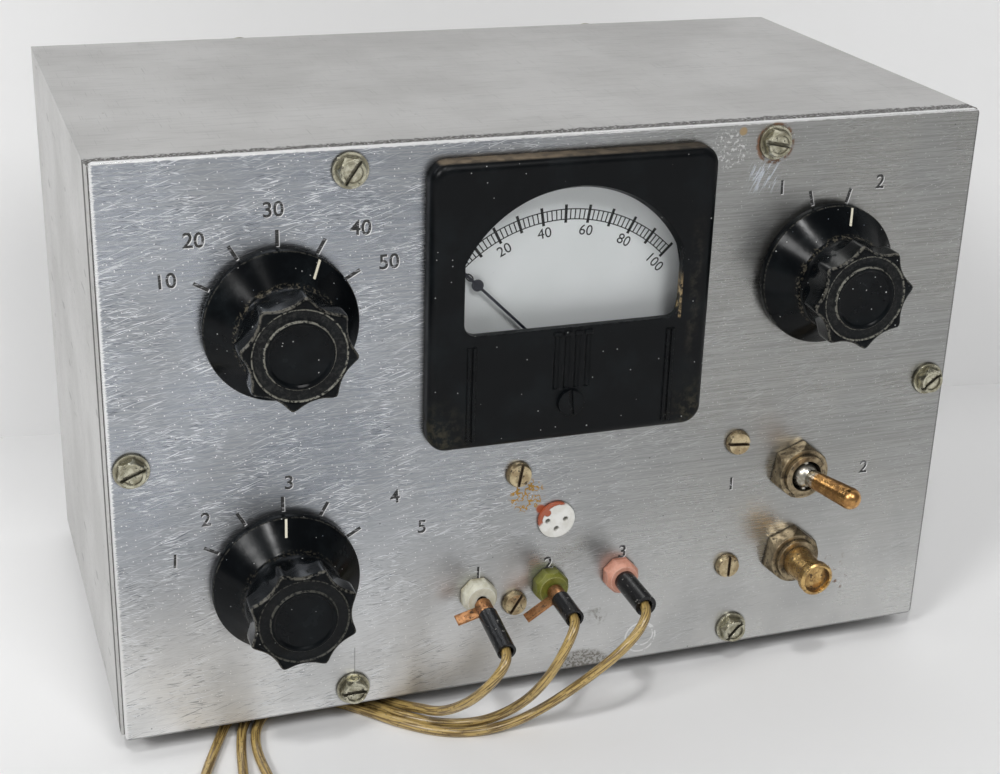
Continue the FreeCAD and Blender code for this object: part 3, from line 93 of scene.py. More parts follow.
def make_camera():
    """Looks down on the tester's left front corner."""
    level = math.cos(CAMERA_ELEVATION)
    away = (math.sin(CAMERA_AZIMUTH), -math.cos(CAMERA_AZIMUTH))
    back = np.array([away[0] * level, away[1] * level, math.sin(CAMERA_ELEVATION)])
    right = np.array([math.cos(CAMERA_AZIMUTH), math.sin(CAMERA_AZIMUTH), 0.0])
    up = np.cross(back, right)
    pose = np.eye(4)
    pose[:3, 0] = math.cos(CAMERA_ROLL) * right + math.sin(CAMERA_ROLL) * up
    pose[:3, 1] = math.cos(CAMERA_ROLL) * up - math.sin(CAMERA_ROLL) * right
    pose[:3, 2] = back
    pose[:3, 3] = on_panel(CAMERA_X, CAMERA_RISE, CAMERA_OUT)
    data = bpy.data.cameras.new("camera")
    data.lens = LENS
    data.sensor_width = 36.0
    camera = into_scene("camera", data)
    camera.matrix_world = Matrix(pose.tolist())
    bpy.context.scene.camera = camera


def area_light(name, place, target, size, power):
    """A round soft light that faces its target."""
    data = bpy.data.lights.new(name, "AREA")
    data.shape = "DISK"
    data.size = size
    data.energy = power
    light = into_scene(name, data)
    light.location = place
    light.rotation_mode = "QUATERNION"
    light.rotation_quaternion = (Vector(target) - Vector(place)).to_track_quat("-Z", "Y")


def make_world():
    """Soft light from all round, brighter low down. The camera sees it as a plain pale room."""
    world = bpy.data.worlds.new("studio")
    bpy.context.scene.world = world
    world.use_nodes = True
    nodes, links = world.node_tree.nodes, world.node_tree.links
    heading = nodes.new("ShaderNodeSeparateXYZ")
    links.new(nodes.new("ShaderNodeTexCoord").outputs["Generated"], heading.inputs[0])
    sky = nodes.new("ShaderNodeMapRange")
    sky.inputs["To Min"].default_value = HORIZON_LIGHT
    sky.inputs["To Max"].default_value = ZENITH_LIGHT
    links.new(heading.outputs["Z"], sky.inputs["Value"])
    seen = nodes.new("ShaderNodeMapRange")
    seen.inputs["To Max"].default_value = SKY_SEEN
    links.new(nodes.new("ShaderNodeLightPath").outputs["Is Camera Ray"], seen.inputs["Value"])
    links.new(sky.outputs[0], seen.inputs["To Min"])
    background = nodes["Background"]
    background.inputs["Color"].default_value = (1.0, 1.0, 1.0, 1.0)
    links.new(seen.outputs[0], background.inputs["Strength"])


# Shader building

class Value:
    """A shader number. Arithmetic on it adds Math nodes."""

    def __init__(self, finish, socket):
        self.finish = finish
        self.socket = socket

    def math(self, operation, *numbers):
        return self.finish.node("ShaderNodeMath", {"operation": operation}, dict(enumerate(numbers)))

    def __add__(self, other):
        return self.math("ADD", self, other)

    def __sub__(self, other):
        return self.math("SUBTRACT", self, other)

    def __rsub__(self, other):
        return self.math("SUBTRACT", other, self)

    def __mul__(self, other):
        return self.math("MULTIPLY", self, other)

    def __pow__(self, other):
        return self.math("POWER", self, other)

    def __abs__(self):
        return self.math("ABSOLUTE", self)

    __radd__ = __add__
    __rmul__ = __mul__

    def least(self, other):
        return self.math("MINIMUM", self, other)

    def most(self, other):
        return self.math("MAXIMUM", self, other)


class Finish:
    """One material on a Principled shader. Its patterns are in panel millimetres: x, out and rise."""

    def __init__(self, name, **constants):
        self.material = bpy.data.materials.new(name)
        self.material.use_nodes = True
        self.nodes = self.material.node_tree.nodes
        self.links = self.material.node_tree.links
        self.shader = self.nodes["Principled BSDF"]
        for socket, constant in constants.items():
            self.shader.inputs[socket.replace("_", " ")].default_value = constant
        to_panel = {"Vector": self.node("ShaderNodeTexCoord", output="Object"),
                    "Location": (0.0, PANEL_FRONT / MM, -PANEL_BOTTOM / MM),
                    "Scale": (1.0 / MM, -1.0 / MM, 1.0 / MM)}
        self.place = self.node("ShaderNodeMapping", None, to_panel)
        self.x, self.out, self.rise = self.split(self.place)

    def feed(self, socket, value):
        """Links a shader value to a socket, or sets a plain one on it."""
        if isinstance(value, Value):
            self.links.new(value.socket, socket)
        else:
            socket.default_value = value

    def node(self, kind, settings=None, inputs=None, output=0):
        """Any node, by type: its settings, then what its sockets take, and the output wanted from it."""
        node = self.nodes.new(kind)
        for name, setting in (settings or {}).items():
            setattr(node, name, setting)
        for socket, value in (inputs or {}).items():
            self.feed(node.inputs[socket], value)
        return Value(self, node.outputs[output])

    def split(self, vector):
        """A vector's three numbers."""
        parts = self.node("ShaderNodeSeparateXYZ", None, {"Vector": vector}).socket.node
        return [Value(self, parts.outputs[axis]) for axis in "XYZ"]

    def stretched(self, x, out, rise, turn=0.0, seed=0):
        """The place in steps of those sizes along each axis, turned about out. A seed shifts it."""
        inputs = {"Vector": self.place, "Location": (41.3 * seed, 17.7 * seed, 29.1 * seed),
                  "Rotation": (0.0, turn, 0.0), "Scale": (x, out, rise)}
        return self.node("ShaderNodeMapping", {"vector_type": "TEXTURE"}, inputs)

    def noise(self, size, detail=2.0, roughness=0.5, place=None):
        """Soft random cloud with blots of about that size."""
        inputs = {"Vector": place or self.place, "Scale": 1.0 / size, "Detail": detail,
                  "Roughness": roughness}
        return self.node("ShaderNodeTexNoise", None, inputs, "Fac")

    def mottle(self, size, low=0.36, high=0.68, seed=0):
        """1 in soft blots of about that size."""
        place = self.stretched(1.0, 1.0, 1.0, 0.0, seed)
        return self.between(self.noise(size, 4.0, 0.6, place), low, high)

    def strokes(self, long, wide, turn=0.0, seed=0, detail=2.0):
        """Cloud drawn out along x into strokes of about that length and width."""
        return self.noise(1.0, detail, 0.5, self.stretched(long, wide, wide, turn, seed))

    def specks(self, spacing, radius, share, seed=0):
        """1 in round dots of about that radius, scattered a spacing apart, on a share of the places."""
        place = self.stretched(spacing, spacing, spacing, 0.0, seed)
        near = self.node("ShaderNodeTexVoronoi", None, {"Vector": place, "Scale": 1.0}, "Distance")
        draw = {"Color": Value(self, near.socket.node.outputs["Color"])}
        drawn = self.node("ShaderNodeSeparateColor", None, draw, "Red")
        dots = self.between(near, radius / spacing, 0.5 * radius / spacing)
        return dots * self.between(drawn, share, 0.9 * share)

    def between(self, value, low, high):
        """0 below low, 1 above high and a smooth step between. With low above high it falls."""
        inputs = {"Value": value, "From Min": low, "From Max": high}
        return self.node("ShaderNodeMapRange", {"interpolation_type": "SMOOTHSTEP"}, inputs)

    def blend(self, factor, first, second):
        """A colour between two."""
        inputs = {0: factor, 6: first, 7: second}
        return self.node("ShaderNodeMix", {"data_type": "RGBA"}, inputs, 2)

    def over(self, colour, *marks):
        """A colour with marks laid over it in turn, each given by where it is and its tint."""
        for place, tint in marks:
            colour = self.blend(place, colour, tint)
        return colour

    def facing(self):
        """The x, y and z of the surface's own direction."""
        return self.split(self.node("ShaderNodeNewGeometry", output="Normal"))

    def away(self, x, rise):
        """Distance from a line through that place, straight out of the panel."""
        return ((self.x - x) ** 2.0 + (self.rise - rise) ** 2.0) ** 0.5

    def spot(self, place, outer, inner):
        """1 within an inner distance of a place on the panel, falling to 0 at the outer one."""
        return self.between(self.away(*place), outer, inner)

    def ring(self, place, radius, outer, inner):
        """1 along a circle about a place on the panel, falling to 0 at an outer distance to both sides."""
        return self.between(abs(self.away(*place) - radius), outer, inner)

    def within(self, left, right, low, high, soft):
        """1 inside a rectangle on the panel, with a soft edge."""
        across = self.between(self.x, left - soft, left + soft)
        across = across * self.between(self.x, right + soft, right - soft)
        up = self.between(self.rise, low - soft, low + soft)
        return across * up * self.between(self.rise, high + soft, high - soft)

    def line(self, start, end, half):
        """1 within half a width of a straight line between two places on the panel."""
        run, climb = end[0] - start[0], end[1] - start[1]
        across, up = self.x - start[0], self.rise - start[1]
        along = (across * run + up * climb) * (1.0 / (run * run + climb * climb))
        along = along.least(1.0).most(0.0)
        distance = ((across - along * run) ** 2.0 + (up - along * climb) ** 2.0) ** 0.5
        return self.between(distance, 1.4 * half, 0.6 * half)

    def rounded(self, radius):
        """Edges that shade as if they were rounded."""
        return self.node("ShaderNodeBevel", {"samples": 3}, {"Radius": radius * MM})

    def edges(self, radius):
        """1 along edges, where the rounded direction leaves the true one."""
        both = {0: self.rounded(radius), 1: self.node("ShaderNodeNewGeometry", output="True Normal")}
        agreement = self.node("ShaderNodeVectorMath", {"operation": "DOT_PRODUCT"}, both, "Value")
        return self.between(agreement, 0.985, 0.9)

    def openness(self, reach):
        """1 in the open and less in slots, grooves and corners of about that reach."""
        return self.node("ShaderNodeAmbientOcclusion", {"samples": 5}, {"Distance": reach * MM}, "AO")

    def bump(self, height, depth, normal=None):
        """A relief of so many millimetres."""
        inputs = {"Height": height, "Distance": depth * MM, "Strength": 1.0}
        if normal:
            inputs["Normal"] = normal
        return self.node("ShaderNodeBump", None, inputs)

    def wear(self, **surface):
        """Feeds what changes over the surface to the shader and returns the material."""
        for socket, value in surface.items():
            self.feed(self.shader.inputs[socket.replace("_", " ")], value)
        return self.material


def rgb(red, green, blue):
    return (red, green, blue, 1.0)


def grey(level):
    return rgb(level, level, level)


# Sheet metal

RUST = rgb(0.17, 0.065, 0.015)
TAN_DUST = rgb(0.36, 0.25, 0.12)
# Length and turn of each set of scratches
SCRATCHES = ((6.0, 0.02), (3.0, 0.2), (5.0, -0.16), (8.0, -0.34))
# The panel's stains and marks, and the middles of its painted dark reflections, by x and rise
GLUE_THREADS, VARNISH_DROP, TAN_DROP = (-8.0, 55.0), (-4.0, 50.6), (46.0, 149.0)
RUSTY_SCREW, RUSTY_BUTTON = (55.2, 145.4), (85.0, 16.5)
BARE_PATCH, GRIMY_PATCH, DARK_STAIN = (42.6, 144.6), (9.6, -6.0), (14.0, 15.6)
SMEAR_BOX = (49.0, 57.0, 133.0, 140.5)
WIDE_RING, NARROW_RING = (27.2, 6.4), (27.8, 7.0)
SCRIBE_START, SCRIBE_END = (-54.5, 9.0), (-54.4, 17.0)
DIM_CORNER, DIM_MIDDLE = (-42.0, 158.0), (-66.0, 74.0)


def scratches(finish, seed, low, high):
    """Thin scratches, mostly sideways and some rising to the right."""
    sets = [finish.between(finish.strokes(long, 0.26, turn, seed + order, 1.0), low, high)
            for order, (long, turn) in enumerate(SCRATCHES)]
    return sets[0].most(sets[1]).most(sets[2]).most(sets[3])


def rubbed_grain(finish, tone, rubbed):
    """Faint brushing sideways, with scratches and tiny painted glints of light that are strongest where
    rubbed is 1.

    Returns the colour, the brushing and the height of the relief.
    """
    fine = finish.strokes(16.0, 0.2, 0.0, 1)
    patchy = 0.25 + 0.75 * finish.between(finish.noise(13.0, 2.0), 0.4, 0.64)
    light = scratches(finish, 2, 0.65, 0.7) * patchy
    dark = scratches(finish, 12, 0.66, 0.71) * patchy
    # Painted glints: near-white dots that stand in for sparkles of light
    painted_glints = finish.specks(1.2, 0.2, 0.8, 7)
    pits = finish.specks(5.0, 0.26, 0.4, 1)
    colour = finish.over(tone, (finish.between(fine, 0.35, 0.65) * 0.26, grey(0.6)),
                         (dark * (0.16 + 0.72 * rubbed), rgb(0.13, 0.145, 0.17)),
                         (light * (0.08 + 0.8 * rubbed), rgb(0.9, 0.92, 0.95)),
                         (painted_glints * (0.25 + 0.7 * rubbed), grey(0.97)), (pits * 0.7, grey(0.08)))
    return colour, fine, fine * 0.6 + light - dark


def panel_dirt(finish, blots):
    """Stains and marks of use: pairs of where each is and its colour, and where the thick ones are."""
    fine_blots = finish.noise(0.9, 4.0, 0.65)
    threads = finish.between(abs(finish.noise(2.6, 2.0) - 0.5), 0.034, 0.016)
    threads = threads * finish.spot(GLUE_THREADS, 5.4, 4.0)
    drips = finish.spot(VARNISH_DROP, 1.6, 0.9)
    rust = finish.ring(RUSTY_SCREW, 4.7, 1.0, 0.3) * finish.between(blots, 0.45, 0.54)
    rust = rust.most(finish.spot(RUSTY_BUTTON, 9.5, 4.0) * finish.between(blots, 0.57, 0.66))
    drop = finish.spot(TAN_DROP, 1.3, 0.8)
    bare = finish.spot(BARE_PATCH, 6.0, 4.0) * finish.between(fine_blots, 0.53, 0.6)
    smear = finish.between(finish.strokes(4.0, 0.5, -1.1, 9), 0.52, 0.62)
    smear = smear * finish.within(*SMEAR_BOX, 1.5)
    patch = finish.spot(GRIMY_PATCH, 12.2, 10.4) * (0.4 + 0.6 * finish.between(fine_blots, 0.44, 0.56))
    stain = finish.spot(DARK_STAIN, 4.0, 1.5) * finish.between(blots, 0.48, 0.62)
    rings = finish.ring(WIDE_RING, 4.5, 0.34, 0.16).most(finish.ring(NARROW_RING, 3.2, 0.3, 0.14))
    rings = rings * finish.between(blots, 0.38, 0.48)
    scribe = finish.line(SCRIBE_START, SCRIBE_END, 0.14)
    marks = [(bare * 0.7, grey(0.8)), (smear * 0.6, rgb(0.7, 0.75, 0.84)), (rust * 0.8, RUST),
             (drop * 0.9, TAN_DUST), (patch * 0.85, rgb(0.13, 0.115, 0.09)),
             (stain * 0.55, rgb(0.12, 0.1, 0.07)), (rings * 0.75, grey(0.88)), (scribe * 0.5, grey(0.14)),
             (threads, rgb(0.42, 0.23, 0.03)), (drips * 0.95, rgb(0.34, 0.06, 0.008))]
    for x, rise, _, _, grimy in KNOBS.values():
        halo = finish.spot((x, rise), 21.6, 18.8) * finish.between(blots, 0.36, 0.6)
        marks.append((halo * grimy, rgb(0.15, 0.14, 0.12)))
    return marks, threads.most(drips).most(rust).most(patch).most(drop)


def scuffed_panel():
    """Bare sheet: bluish and heavily scuffed at the left, smoother and warmer at the right, with painted
    reflection, painted shade and painted glints.
    """
    finish = Finish("scuffed_panel")
    left = finish.between(finish.x, 60.0, -80.0)
    low = finish.between(finish.rise, 66.0, -4.0)
    cloud = finish.noise(24.0, 3.0)
    tone = finish.blend(left, rgb(0.285, 0.285, 0.27), rgb(0.34, 0.365, 0.405))
    # Painted reflection: darker bluish patches at the upper left and middle left, and lighter low down,
    # most at the left
    painted_dark_reflection = finish.spot(DIM_CORNER, 62.0, 18.0).most(finish.spot(DIM_MIDDLE, 30.0, 8.0))
    tone = finish.over(tone, (painted_dark_reflection * 0.45, rgb(0.16, 0.18, 0.21)),
                       (low * (0.5 + 0.5 * left), rgb(0.92, 0.92, 0.91)),
                       (finish.between(cloud, 0.4, 0.7) * 0.35, rgb(0.30, 0.31, 0.315)))
    colour, fine, height = rubbed_grain(finish, tone, 0.1 + 0.9 * left)
    # The left and top edges are rubbed bright and painted as lit, with a ragged limit; the others have a
    # dark line of painted shade
    comb = 1.8 * (finish.strokes(2.2, 0.3, 0.0, 8) - 0.5)
    inwards = (finish.x + PANEL_HALF + 0.3).least(2.6 * (PANEL_TALL - finish.rise))
    worn = finish.between(inwards + comb, 1.2, 0.7)
    shaded = finish.between((PANEL_HALF - finish.x).least(finish.rise), 0.5, 0.25)
    # Painted shade round the parts on the panel and in its corners, where little light reaches
    painted_crevice_shade = finish.between(finish.openness(0.9), 0.85, 0.5)
    marks, dirt = panel_dirt(finish, finish.noise(2.0, 4.0, 0.65))
    colour = finish.over(colour, (worn * 0.9, grey(0.92)), (shaded * 0.6, grey(0.12)),
                         (painted_crevice_shade * 0.75, rgb(0.05, 0.045, 0.036)), *marks)
    roughness = 0.24 + 0.08 * finish.between(cloud, 0.3, 0.7) + 0.05 * finish.between(fine, 0.4, 0.7)
    roughness = roughness + 0.35 * dirt + 0.14 * low * left
    relief = finish.bump(height + dirt * 6.0, 0.0035, finish.rounded(0.3))
    return finish.wear(Base_Color=colour, Roughness=roughness, Metallic=0.94 - 0.8 * dirt, Normal=relief)


GRIME_REACH = 4.6


def grey_sheet():
    """Dull folded sheet with a faint grain along it, pits and hairlines, its top painted a little darker as
    shade, a dirty band along its front bend and painted shade in the gap there.
    """
    finish = Finish("cabinet_sheet")
    cloud = finish.noise(38.0, 4.0, 0.55, finish.stretched(1.0, 1.0, 1.0, 0.0, 1))
    grain = finish.strokes(22.0, 0.55, 0.0, 2, 3.0)
    tone = finish.blend(finish.between(cloud, 0.35, 0.68), rgb(0.59, 0.585, 0.575), rgb(0.51, 0.505, 0.495))
    upward = finish.between(finish.facing()[2], 0.4, 0.7)
    dull = finish.between(finish.strokes(12.0, 1.4, 0.0, 3), 0.52, 0.72)
    sideways = finish.noise(1.0, 1.0, 0.5, finish.stretched(9.0, 0.2, 9.0, 0.0, 4))
    backwards = finish.noise(1.0, 1.0, 0.5, finish.stretched(0.2, 12.0, 3.0))
    hairs = finish.between(sideways, 0.68, 0.72).most(finish.between(backwards, 0.7, 0.74))
    pits = finish.specks(8.0, 0.4, 0.35, 5)
    # Behind the panel: a mottled band of dirt on top, and painted shade of the gap: a line on the bend and
    # another where the side starts
    behind_panel = -1.0 * (finish.out + PANEL_THICK)
    ragged = behind_panel - 0.006 * finish.x + 5.0 * (finish.noise(1.2, 4.0, 0.65) - 0.5)
    wedge = finish.between(behind_panel - 0.3 * (finish.x - 96.0), 0.6, -0.6)
    band = finish.between(ragged, GRIME_REACH + 0.5, GRIME_REACH - 0.5).most(wedge) * upward
    painted_side_shade = finish.between(behind_panel, 5.0, 4.0) * finish.between(behind_panel, 1.0, 1.4)
    painted_gap_shade = finish.between(behind_panel, 0.12, 0.06).most(painted_side_shade * (1.0 - upward))
    flecks = finish.between(finish.noise(0.6, 3.0), 0.54, 0.6)
    grime_and_crevice_shade = band.most(painted_gap_shade)
    # The top is painted a little darker as shade
    colour = finish.over(tone, (finish.between(grain, 0.4, 0.7) * 0.3, grey(0.62)),
                         (upward * 0.16, grey(0.2)), (dull * 0.25, grey(0.33)), (hairs * 0.45, grey(0.2)),
                         (pits * 0.6, rgb(0.14, 0.13, 0.11)), (grime_and_crevice_shade * 0.9, rgb(0.035, 0.032, 0.028)),
                         (band * flecks * 0.7, grey(0.6)))
    metallic = 0.82 - 0.7 * grime_and_crevice_shade
    roughness = 0.42 + 0.12 * finish.between(cloud, 0.3, 0.7) + 0.3 * grime_and_crevice_shade
    relief = finish.bump(grain * 0.4 + cloud * 2.0 - pits, 0.03, finish.rounded(0.5))
    return finish.wear(Base_Color=colour, Roughness=roughness, Metallic=metallic, Normal=relief)


# Turned and stamped metal

def worn_metal(name, bright, dull, grime_and_crevice_shade, dirty=0.5, roughness=0.28, size=2.4, edge=0.25):
    """Plated or bare metal, blotched with dirt, with painted shade in its corners and slots, and rubbed
    bright along its edges.
    """
    finish = Finish(name)
    mottle = finish.mottle(size, 0.36, 0.66)
    blots = finish.noise(0.45 * size, 4.0, 0.65)
    blots = finish.between(blots, 0.66 - 0.22 * dirty, 0.74 - 0.2 * dirty)
    clear = finish.openness(1.8)
    rubbed = finish.edges(edge) * finish.between(clear, 0.7, 0.85)
    # Blots of dirt, joined by painted shade where the surface is closed in
    dirt = (blots * 0.85).most(finish.between(clear, 0.72, 0.4)) * (1.0 - 0.85 * rubbed)
    colour = finish.over(bright, (mottle, dull), (rubbed * 0.7, bright), (dirt, grime_and_crevice_shade))
    gloss = roughness + 0.16 * mottle + 0.32 * dirt
    relief = finish.bump(mottle * 0.4 + blots, 0.025, finish.rounded(edge))
    return finish.wear(Base_Color=colour, Roughness=gloss, Metallic=1.0 - 0.75 * dirt, Normal=relief)


def lever_plating():
    """Nickel at the ball, worn through to copper along the bat."""
    finish = Finish("lever_plating")
    mottle = finish.noise(2.2, 4.0, 0.6)
    copper = finish.between(finish.out + 4.0 * (mottle - 0.5), 8.6, 10.6)
    silvery = finish.blend(finish.between(mottle, 0.4, 0.66), rgb(0.66, 0.64, 0.57), rgb(0.34, 0.31, 0.25))
    coppery = finish.blend(finish.between(mottle, 0.4, 0.62), rgb(0.64, 0.36, 0.13), rgb(0.4, 0.21, 0.08))
    blots = finish.between(finish.noise(0.9, 4.0, 0.65), 0.61, 0.68)
    colour = finish.over(silvery, (copper, coppery), (blots * 0.8, rgb(0.06, 0.04, 0.025)))
    roughness = 0.26 + 0.2 * finish.between(mottle, 0.4, 0.7) + 0.2 * blots
    return finish.wear(Base_Color=colour, Roughness=roughness, Metallic=1.0 - 0.6 * blots,
                       Normal=finish.bump(mottle, 0.03, finish.rounded(0.15)))


# Mouldings, glass and print

def black_moulding(name, specular, gloss, edge, seed):
    """Old black phenolic with a bluish bloom and pale dust: a finish, its colour, roughness and relief."""
    finish = Finish(name, Specular_IOR_Level=specular)
    bloom = finish.mottle(9.0, 0.42, 0.75, seed)
    dust = finish.specks(2.0, 0.18, 0.3, seed + 1).most(finish.specks(4.5, 0.26, 0.35, seed + 2))
    colour = finish.over(rgb(0.0026, 0.0033, 0.004), (bloom * 0.5, rgb(0.009, 0.012, 0.0138)),
                         (dust * 0.8, rgb(0.6, 0.61, 0.6)))
    roughness = gloss + 0.14 * bloom + 0.3 * dust
    return finish, colour, roughness, finish.bump(bloom, 0.02, finish.rounded(edge))


def knob_bakelite(name, x, rise, dusty, seed):
    """Glossy knob with a worn rim, pale lines beside the ring round its face, dust under its grip, and
    bluish dust on its skirt painted as sparkles of light towards the top.
    """
    finish, colour, roughness, relief = black_moulding(f"{name}_bakelite", 0.1, 0.16, 0.15, seed)
    radius = finish.away(x, rise)
    blots = finish.noise(0.8, 4.0, 0.65)
    face = finish.between(finish.out, 20.8, 21.4)
    ring = finish.between(radius, 8.0, 8.5) * finish.between(radius, 11.2, 10.7) * face
    lines = finish.ring((x, rise), 11.1, 0.26, 0.1).most(finish.ring((x, rise), 8.3, 0.24, 0.1)) * face
    grip_rim = finish.between(finish.out, 21.3, 21.8) * finish.between(finish.out, 22.39, 22.2)
    skirt_rim = finish.between(abs(finish.out - 3.45), 0.2, 0.08)
    rim = (grip_rim * finish.between(radius, 11.2, 11.5)).most(0.4 * skirt_rim)
    rim = rim * finish.between(blots, 0.42, 0.56)
    collar = finish.between(finish.out, 9.2, 9.8) * finish.between(finish.out, 11.4, 10.6)
    # Pale bluish specks on the skirt: dust, painted as sparkles of light that fade out towards its lower
    # side
    skirt = finish.between(finish.out, 9.0, 8.0) * finish.specks(1.5, 0.13, 0.35, seed + 3)
    colour = finish.over(
        colour, (ring * finish.between(blots, 0.46, 0.64) * dusty * 0.4, rgb(0.05, 0.05, 0.046)),
        (lines * finish.between(blots, 0.4, 0.54) * dusty, rgb(0.24, 0.235, 0.2)),
        (rim * 0.5, rgb(0.2, 0.19, 0.16)),
        (collar * finish.between(blots, 0.5, 0.62) * dusty * 0.7, rgb(0.13, 0.115, 0.085)),
        (skirt * finish.between(finish.rise, rise - 4.0, rise + 14.0), rgb(0.3, 0.34, 0.4)))
    handled = finish.between(finish.out, 12.5, 14.0) * finish.between(finish.out, 22.2, 21.6)
    return finish.wear(Base_Color=colour, Roughness=roughness + 0.3 * ring, Coat_Weight=0.55 * handled,
                       Normal=relief)


METER_X, METER_RISE = 0.8, 109.7
METER_HALF = 37.3


def meter_phenolic():
    """Bluish black meter moulding, tan with dust on top, greenish brown at its lower corners."""
    finish, colour, roughness, relief = black_moulding("meter_phenolic", 0.14, 0.3, 0.5, 21)
    across, up = finish.x - METER_X, finish.rise - METER_RISE
    blots = finish.noise(2.4, 5.0, 0.65)
    residue = finish.between(abs(across), 24.0, 37.0) * finish.between(up, -20.0, -37.0)
    residue = residue * finish.between(blots, 0.44, 0.66)
    smear = finish.between(abs(across - 32.6), 2.4, 0.4) * finish.between(abs(up), 24.0, 10.0)
    smear = smear * finish.between(blots, 0.4, 0.7)
    sill = finish.between(across, 28.3, 28.6) * finish.between(across, 29.3, 29.0)
    sill = sill * finish.between(up, 6.0, 1.0) * finish.between(up, -7.4, -6.4)
    sill = sill * finish.between(blots, 0.4, 0.55)
    upward = finish.between(finish.facing()[2], 0.75, 0.95)
    dust = upward * finish.between(up, METER_HALF - 1.0, METER_HALF - 0.4)
    dust = dust * (0.45 + 0.55 * finish.between(finish.noise(3.4, 4.0, 0.6), 0.36, 0.6))
    dust = dust * (0.4 + 0.6 * finish.between(finish.x, 24.0, -16.0))
    colour = finish.over(colour, (residue * 0.7, rgb(0.075, 0.068, 0.042)),
                         (smear * 0.4, rgb(0.05, 0.045, 0.034)), (sill * 0.8, rgb(0.4, 0.3, 0.16)),
                         (dust * 0.8, rgb(0.19, 0.15, 0.105)))
    return finish.wear(Base_Color=colour, Roughness=roughness + 0.25 * residue + 0.4 * dust, Normal=relief)


def moulded(name, colour, shade, roughness=0.4, size=3.0):
    """Plain plastic, fibre or rubber: two tones in soft blots, with specks of dirt and a faint relief."""
    finish = Finish(name)
    mottle = finish.mottle(size)
    dirt = finish.specks(1.6, 0.14, 0.3, 1)
    tone = finish.over(colour, (mottle, shade), (dirt * 0.5, rgb(0.05, 0.045, 0.035)))
    relief = finish.bump(mottle, 0.03, finish.rounded(0.25))
    return finish.wear(Base_Color=tone, Roughness=roughness + 0.15 * mottle, Normal=relief)


def clear_glass():
    """Clear pane: see-through, with a plain gloss that grows at a slant, and a little dust."""
    finish = Finish("clear_glass", Metallic=1.0, Roughness=0.06)
    finish.shader.inputs["Base Color"].default_value = grey(0.9)
    see_through = finish.node("ShaderNodeBsdfTransparent", None, {"Color": rgb(0.985, 0.99, 0.99)})
    gloss = finish.node("ShaderNodeFresnel", None, {"IOR": 1.16})
    dust = finish.specks(3.0, 0.12, 0.2, 3) * 0.2
    mixed = finish.node("ShaderNodeMixShader", None, {0: gloss.most(dust), 1: see_through})
    finish.links.new(finish.shader.outputs[0], mixed.socket.node.inputs[2])
    finish.links.new(mixed.socket, finish.nodes["Material Output"].inputs["Surface"])
    return finish.material


def jack_nylon(name, colour, shade, stain, rim):
    """Milky nylon, stained darker towards the panel, with a painted highlight along its front edges."""
    finish = Finish(name, Subsurface_Weight=0.15, Subsurface_Radius=(0.002, 0.002, 0.0015))
    mottle = finish.mottle(2.6)
    low = finish.between(finish.out + 2.0 * (mottle - 0.5), 1.8, 0.2)
    # Painted highlight: the front edges paler, as if catching light
    lit_front_edge = finish.edges(0.5) * finish.between(finish.out, 2.5, 3.6)
    tone = finish.over(colour, (mottle, shade), (low * 0.7, stain), (lit_front_edge * 0.7, rim))
    return finish.wear(Base_Color=tone, Roughness=0.34 + 0.15 * mottle,
                       Normal=finish.bump(mottle, 0.04, finish.rounded(0.4)))


SOCKET_X, SOCKET_RISE = 0.8, 46.9


def socket_ceramic():
    """White steatite with orange varnish run over its upper left rim."""
    finish = Finish("socket_ceramic")
    mottle = finish.mottle(3.0)
    radius = finish.away(SOCKET_X, SOCKET_RISE) + 1.2 * (finish.noise(1.6, 3.0) - 0.5)
    aside = finish.rise - SOCKET_RISE - 0.8 * (finish.x - SOCKET_X)
    varnish = finish.between(radius, 4.3, 4.6) * finish.between(aside, 2.8, 4.0)
    varnish = varnish.most(finish.spot((SOCKET_X - 3.1, SOCKET_RISE + 2.6), 1.1, 0.8))
    colour = finish.over(rgb(0.8, 0.8, 0.77), (mottle, rgb(0.68, 0.67, 0.62)),
                         (varnish * 0.95, rgb(0.36, 0.06, 0.008)))
    relief = finish.bump(varnish, 0.15, finish.rounded(0.3))
    return finish.wear(Base_Color=colour, Roughness=0.34 - 0.14 * varnish, Normal=relief)


def scuffed_sleeve():
    """Glossy black sleeving with pale scuffs."""
    finish = Finish("sleeve_black", Specular_IOR_Level=0.4)
    scuffs = finish.between(finish.noise(1.1, 4.0, 0.7), 0.63, 0.69)
    colour = finish.blend(scuffs * 0.7, rgb(0.006, 0.006, 0.007), rgb(0.4, 0.39, 0.36))
    return finish.wear(Base_Color=colour, Roughness=0.22 + 0.3 * scuffs, Normal=finish.rounded(0.3))


def lead_insulation():
    """Amber sleeving over stranded wire: dark lines along it and specks, from the tube's attribute."""
    finish = Finish("lead_insulation", Coat_Weight=0.4, Coat_Roughness=0.2)
    lay = finish.node("ShaderNodeAttribute", {"attribute_name": "lay"}, None, "Vector")
    along = finish.node("ShaderNodeMapping", None, {"Vector": lay, "Scale": (0.05, 1.6, 1.6)})
    blots = finish.node("ShaderNodeMapping", None, {"Vector": lay, "Scale": (0.8, 1.2, 1.2)})
    lines = finish.between(finish.noise(0.42, 2.0, 0.5, along), 0.48, 0.56)
    flecks = finish.between(finish.noise(0.8, 4.0, 0.65, blots), 0.58, 0.66)
    cloud = finish.noise(1.0, 3.0, 0.5, blots)
    tone = finish.over(rgb(0.4, 0.265, 0.075), (cloud, rgb(0.56, 0.41, 0.16)),
                       (lines * 0.75, rgb(0.075, 0.038, 0.01)), (flecks * 0.6, rgb(0.05, 0.03, 0.012)))
    relief = finish.bump(lines * -1.0, 0.03)
    return finish.wear(Base_Color=tone, Roughness=0.32 + 0.2 * flecks, Normal=relief)


